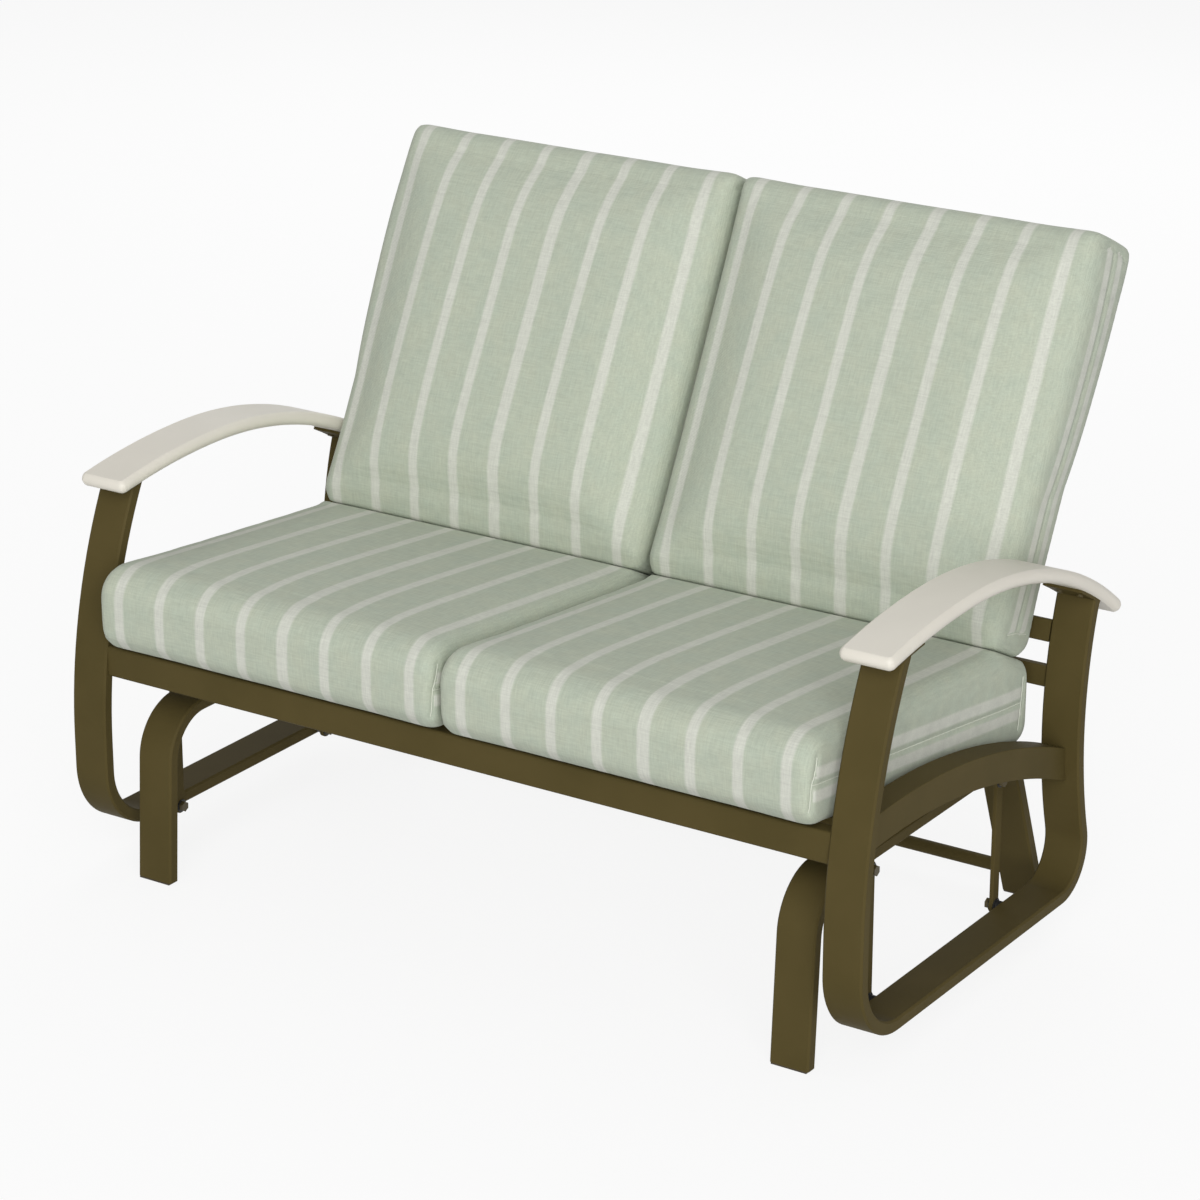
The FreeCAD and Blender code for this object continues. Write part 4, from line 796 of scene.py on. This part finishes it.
# The seat cushion lies on the slats and slopes down to the back, whose cushion stands on its
# rear end. The back cushion's faces and ends are given behind and along the recline.
SLAT_SLOPE, TOP_SLOPE = math.tan(math.radians(8.2)), math.tan(math.radians(4.74))
SLAT_HEIGHT, TOP_HEIGHT = 0.3475, 0.4650
FRONT, MEET, REAR = -0.045, 0.454, 0.534
BACK_FRONT, BACK_REAR, BACK_FOOT, BACK_HEAD = 0.1998, 0.3118, 0.582, 1.152
BACK_SEAM = 0.2558
SEAT_TOP = 0.5812
under_back = [(SEAT_TOP - depth * math.sin(RECLINE)) / math.cos(RECLINE) for depth in (MEET, REAR)]
seat_form = Form(corners=[(FRONT - SETBACK, level(FRONT, SLAT_HEIGHT, SLAT_SLOPE), 0.030),
                          (REAR - SETBACK, level(REAR, SLAT_HEIGHT, SLAT_SLOPE), 0.025),
                          (REAR - SETBACK, under_back[1], 0.018),
                          (MEET - SETBACK, under_back[0], 0.030),
                          (FRONT - SETBACK, level(FRONT, TOP_HEIGHT, TOP_SLOPE), 0.040)],
                 rims=(0.010, 0.007, 0.016, 0.030, 0.016), faces=(3, 0), stops=(0, 2),
                 seam=((-0.031 - SETBACK, 0.4080), (0.510 - SETBACK, 0.335)),
                 tips=(((0.007, 0.034), (0.003, -0.036)), ((0, 0.036), (0, -0.038))),
                 stripes=(0.0155, -0.0145), sewn=(0, 1, 2), crown=0.034, lean=-0.5, outer=0.5695)
back_form = Form(corners=[(*tilted(BACK_FRONT, BACK_FOOT), 0.026),
                          (*tilted(BACK_REAR, BACK_FOOT), 0.022),
                          (*tilted(BACK_REAR, BACK_HEAD), 0.014),
                          (*tilted(BACK_FRONT, BACK_HEAD), 0.022)],
                 rims=(0.012, 0.008, 0.006, 0.022), faces=(3, 1), stops=(0, 1),
                 seam=(tilted(BACK_SEAM, 1.136), tilted(BACK_SEAM, 0.612)),
                 tips=(((0.006, 0.034), (0.006, -0.034)), ((-0.004, 0.034), (0.006, -0.022))),
                 stripes=(0.018, -0.014), sewn=(2,), crown=0.035, lean=0.4, outer=0.5565)

# The inner faces of a pair stand this far from the middle plane between them. Each kind has its
# form, the outer face of the block it starts as, and the shifts of the stripes, right and left.
INNER = 0.001
for kind, form, outer, shifts in (("seat_cushion", seat_form, 0.563, (0.0035, 0.0035)),
                                  ("back_cushion", back_form, 0.556, (0.0015, -0.0035))):
    cover = cover_block("%s_right_cover" % kind, form, INNER, outer)
    inflate(cover, form, INNER)
    twin = new_object("%s_left_cover" % kind, cover.data.copy())
    twin.data.transform(Matrix.Scale(-1, 4, Vector((1, 0, 0))))
    twin.data.flip_normals()
    finish_cushion(cover, "%s_right" % kind, form, shifts[0])
    finish_cushion(twin, "%s_left" % kind, form, shifts[1])


# Floor, light and camera

FLOOR_HALF = 40
FLOOR_GREY = 0.62
FLOOR_GLOW = 0.86


def pale_floor():
    """A white floor for the camera, with a faint shadow, that gives other rays a duller colour."""
    mesh = bmesh.new()
    bmesh.ops.create_grid(mesh, x_segments=1, y_segments=1, size=FLOOR_HALF)
    data = bpy.data.meshes.new("floor")
    mesh.to_mesh(data)
    mesh.free()
    floor = new_object("floor", data)
    material, tree, output = new_material("pale_floor")
    diffuse = add_node(tree, "ShaderNodeBsdfDiffuse")
    colour = ramp(tree, [(0.0, (FLOOR_GREY,) * 3), (1.0, (1.0,) * 3)])
    glow = add_node(tree, "ShaderNodeEmission", Strength=1.0)
    rays = add_node(tree, "ShaderNodeLightPath")
    seen = add_node(tree, "ShaderNodeMath", operation="MAXIMUM")
    either = add_node(tree, "ShaderNodeMath", operation="MAXIMUM")
    share = add_node(tree, "ShaderNodeMath", operation="MULTIPLY")
    share.inputs[1].default_value = FLOOR_GLOW
    mix = add_node(tree, "ShaderNodeMixShader")
    link = tree.links.new
    link(rays.outputs["Is Camera Ray"], seen.inputs[0])
    link(rays.outputs["Is Glossy Ray"], seen.inputs[1])
    link(seen.outputs[0], either.inputs[0])
    link(rays.outputs["Is Transmission Ray"], either.inputs[1])
    link(either.outputs[0], share.inputs[0])
    link(either.outputs[0], colour.inputs["Fac"])
    link(colour.outputs["Color"], diffuse.inputs["Color"])
    link(share.outputs[0], mix.inputs["Fac"])
    link(diffuse.outputs["BSDF"], mix.inputs[1])
    link(glow.outputs["Emission"], mix.inputs[2])
    link(mix.outputs["Shader"], output.inputs["Surface"])
    dress(floor, material)


def studio_world(strength):
    """An even light from all round, which the camera sees as white."""
    world = bpy.data.worlds.new("studio")
    bpy.context.scene.world = world
    world.use_nodes = True
    tree = world.node_tree
    tree.nodes.clear()
    output = tree.nodes.new("ShaderNodeOutputWorld")
    light = add_node(tree, "ShaderNodeBackground", Strength=strength)
    seen = add_node(tree, "ShaderNodeBackground", Strength=1.0)
    light.inputs["Color"].default_value = (1, 1, 1, 1)
    seen.inputs["Color"].default_value = (1, 1, 1, 1)
    rays = add_node(tree, "ShaderNodeLightPath")
    mix = add_node(tree, "ShaderNodeMixShader")
    tree.links.new(rays.outputs["Is Camera Ray"], mix.inputs["Fac"])
    tree.links.new(light.outputs["Background"], mix.inputs[1])
    tree.links.new(seen.outputs["Background"], mix.inputs[2])
    tree.links.new(mix.outputs["Shader"], output.inputs["Surface"])


def bearing(azimuth, elevation):
    """The way from the bench to a place round it, from angles in degrees."""
    turn, lift = math.radians(azimuth), math.radians(elevation)
    flat = math.cos(lift)
    return Vector((math.sin(turn) * flat, -math.cos(turn) * flat, math.sin(lift)))


BENCH_MIDDLE = Vector((0, 0, 0.45))


def lamp(name, azimuth, elevation, distance, size, power):
    """A square lamp aimed at the bench, placed round it as the camera is."""
    away = bearing(azimuth, elevation)
    light = bpy.data.lights.new(name, "AREA")
    light.size = size
    light.energy = power
    item = bpy.data.objects.new(name, light)
    item.location = BENCH_MIDDLE + away * distance
    item.rotation_euler = away.to_track_quat("Z", "Y").to_euler()
    bpy.context.scene.collection.objects.link(item)


pale_floor()
studio_world(strength=0.42)
lamp("key", azimuth=34, elevation=20, distance=14.0, size=12.0, power=1680)
lamp("rear", azimuth=205, elevation=30, distance=5.0, size=4.0, power=50)

VIEW_AZIMUTH, VIEW_ELEVATION = 33.468, 20.458
CAMERA_PLACE = Vector((2.761, -3.829 - SETBACK, 2.283))
camera_data = bpy.data.cameras.new("camera")
camera_data.sensor_width = 36
camera_data.lens = 118.2
camera_data.clip_end = 100
camera = bpy.data.objects.new("camera", camera_data)
camera.location = CAMERA_PLACE
camera.rotation_euler = bearing(VIEW_AZIMUTH, VIEW_ELEVATION).to_track_quat("Z", "Y").to_euler()
bpy.context.scene.collection.objects.link(camera)
scene = bpy.context.scene
scene.camera = camera
scene.view_settings.view_transform = "Standard"
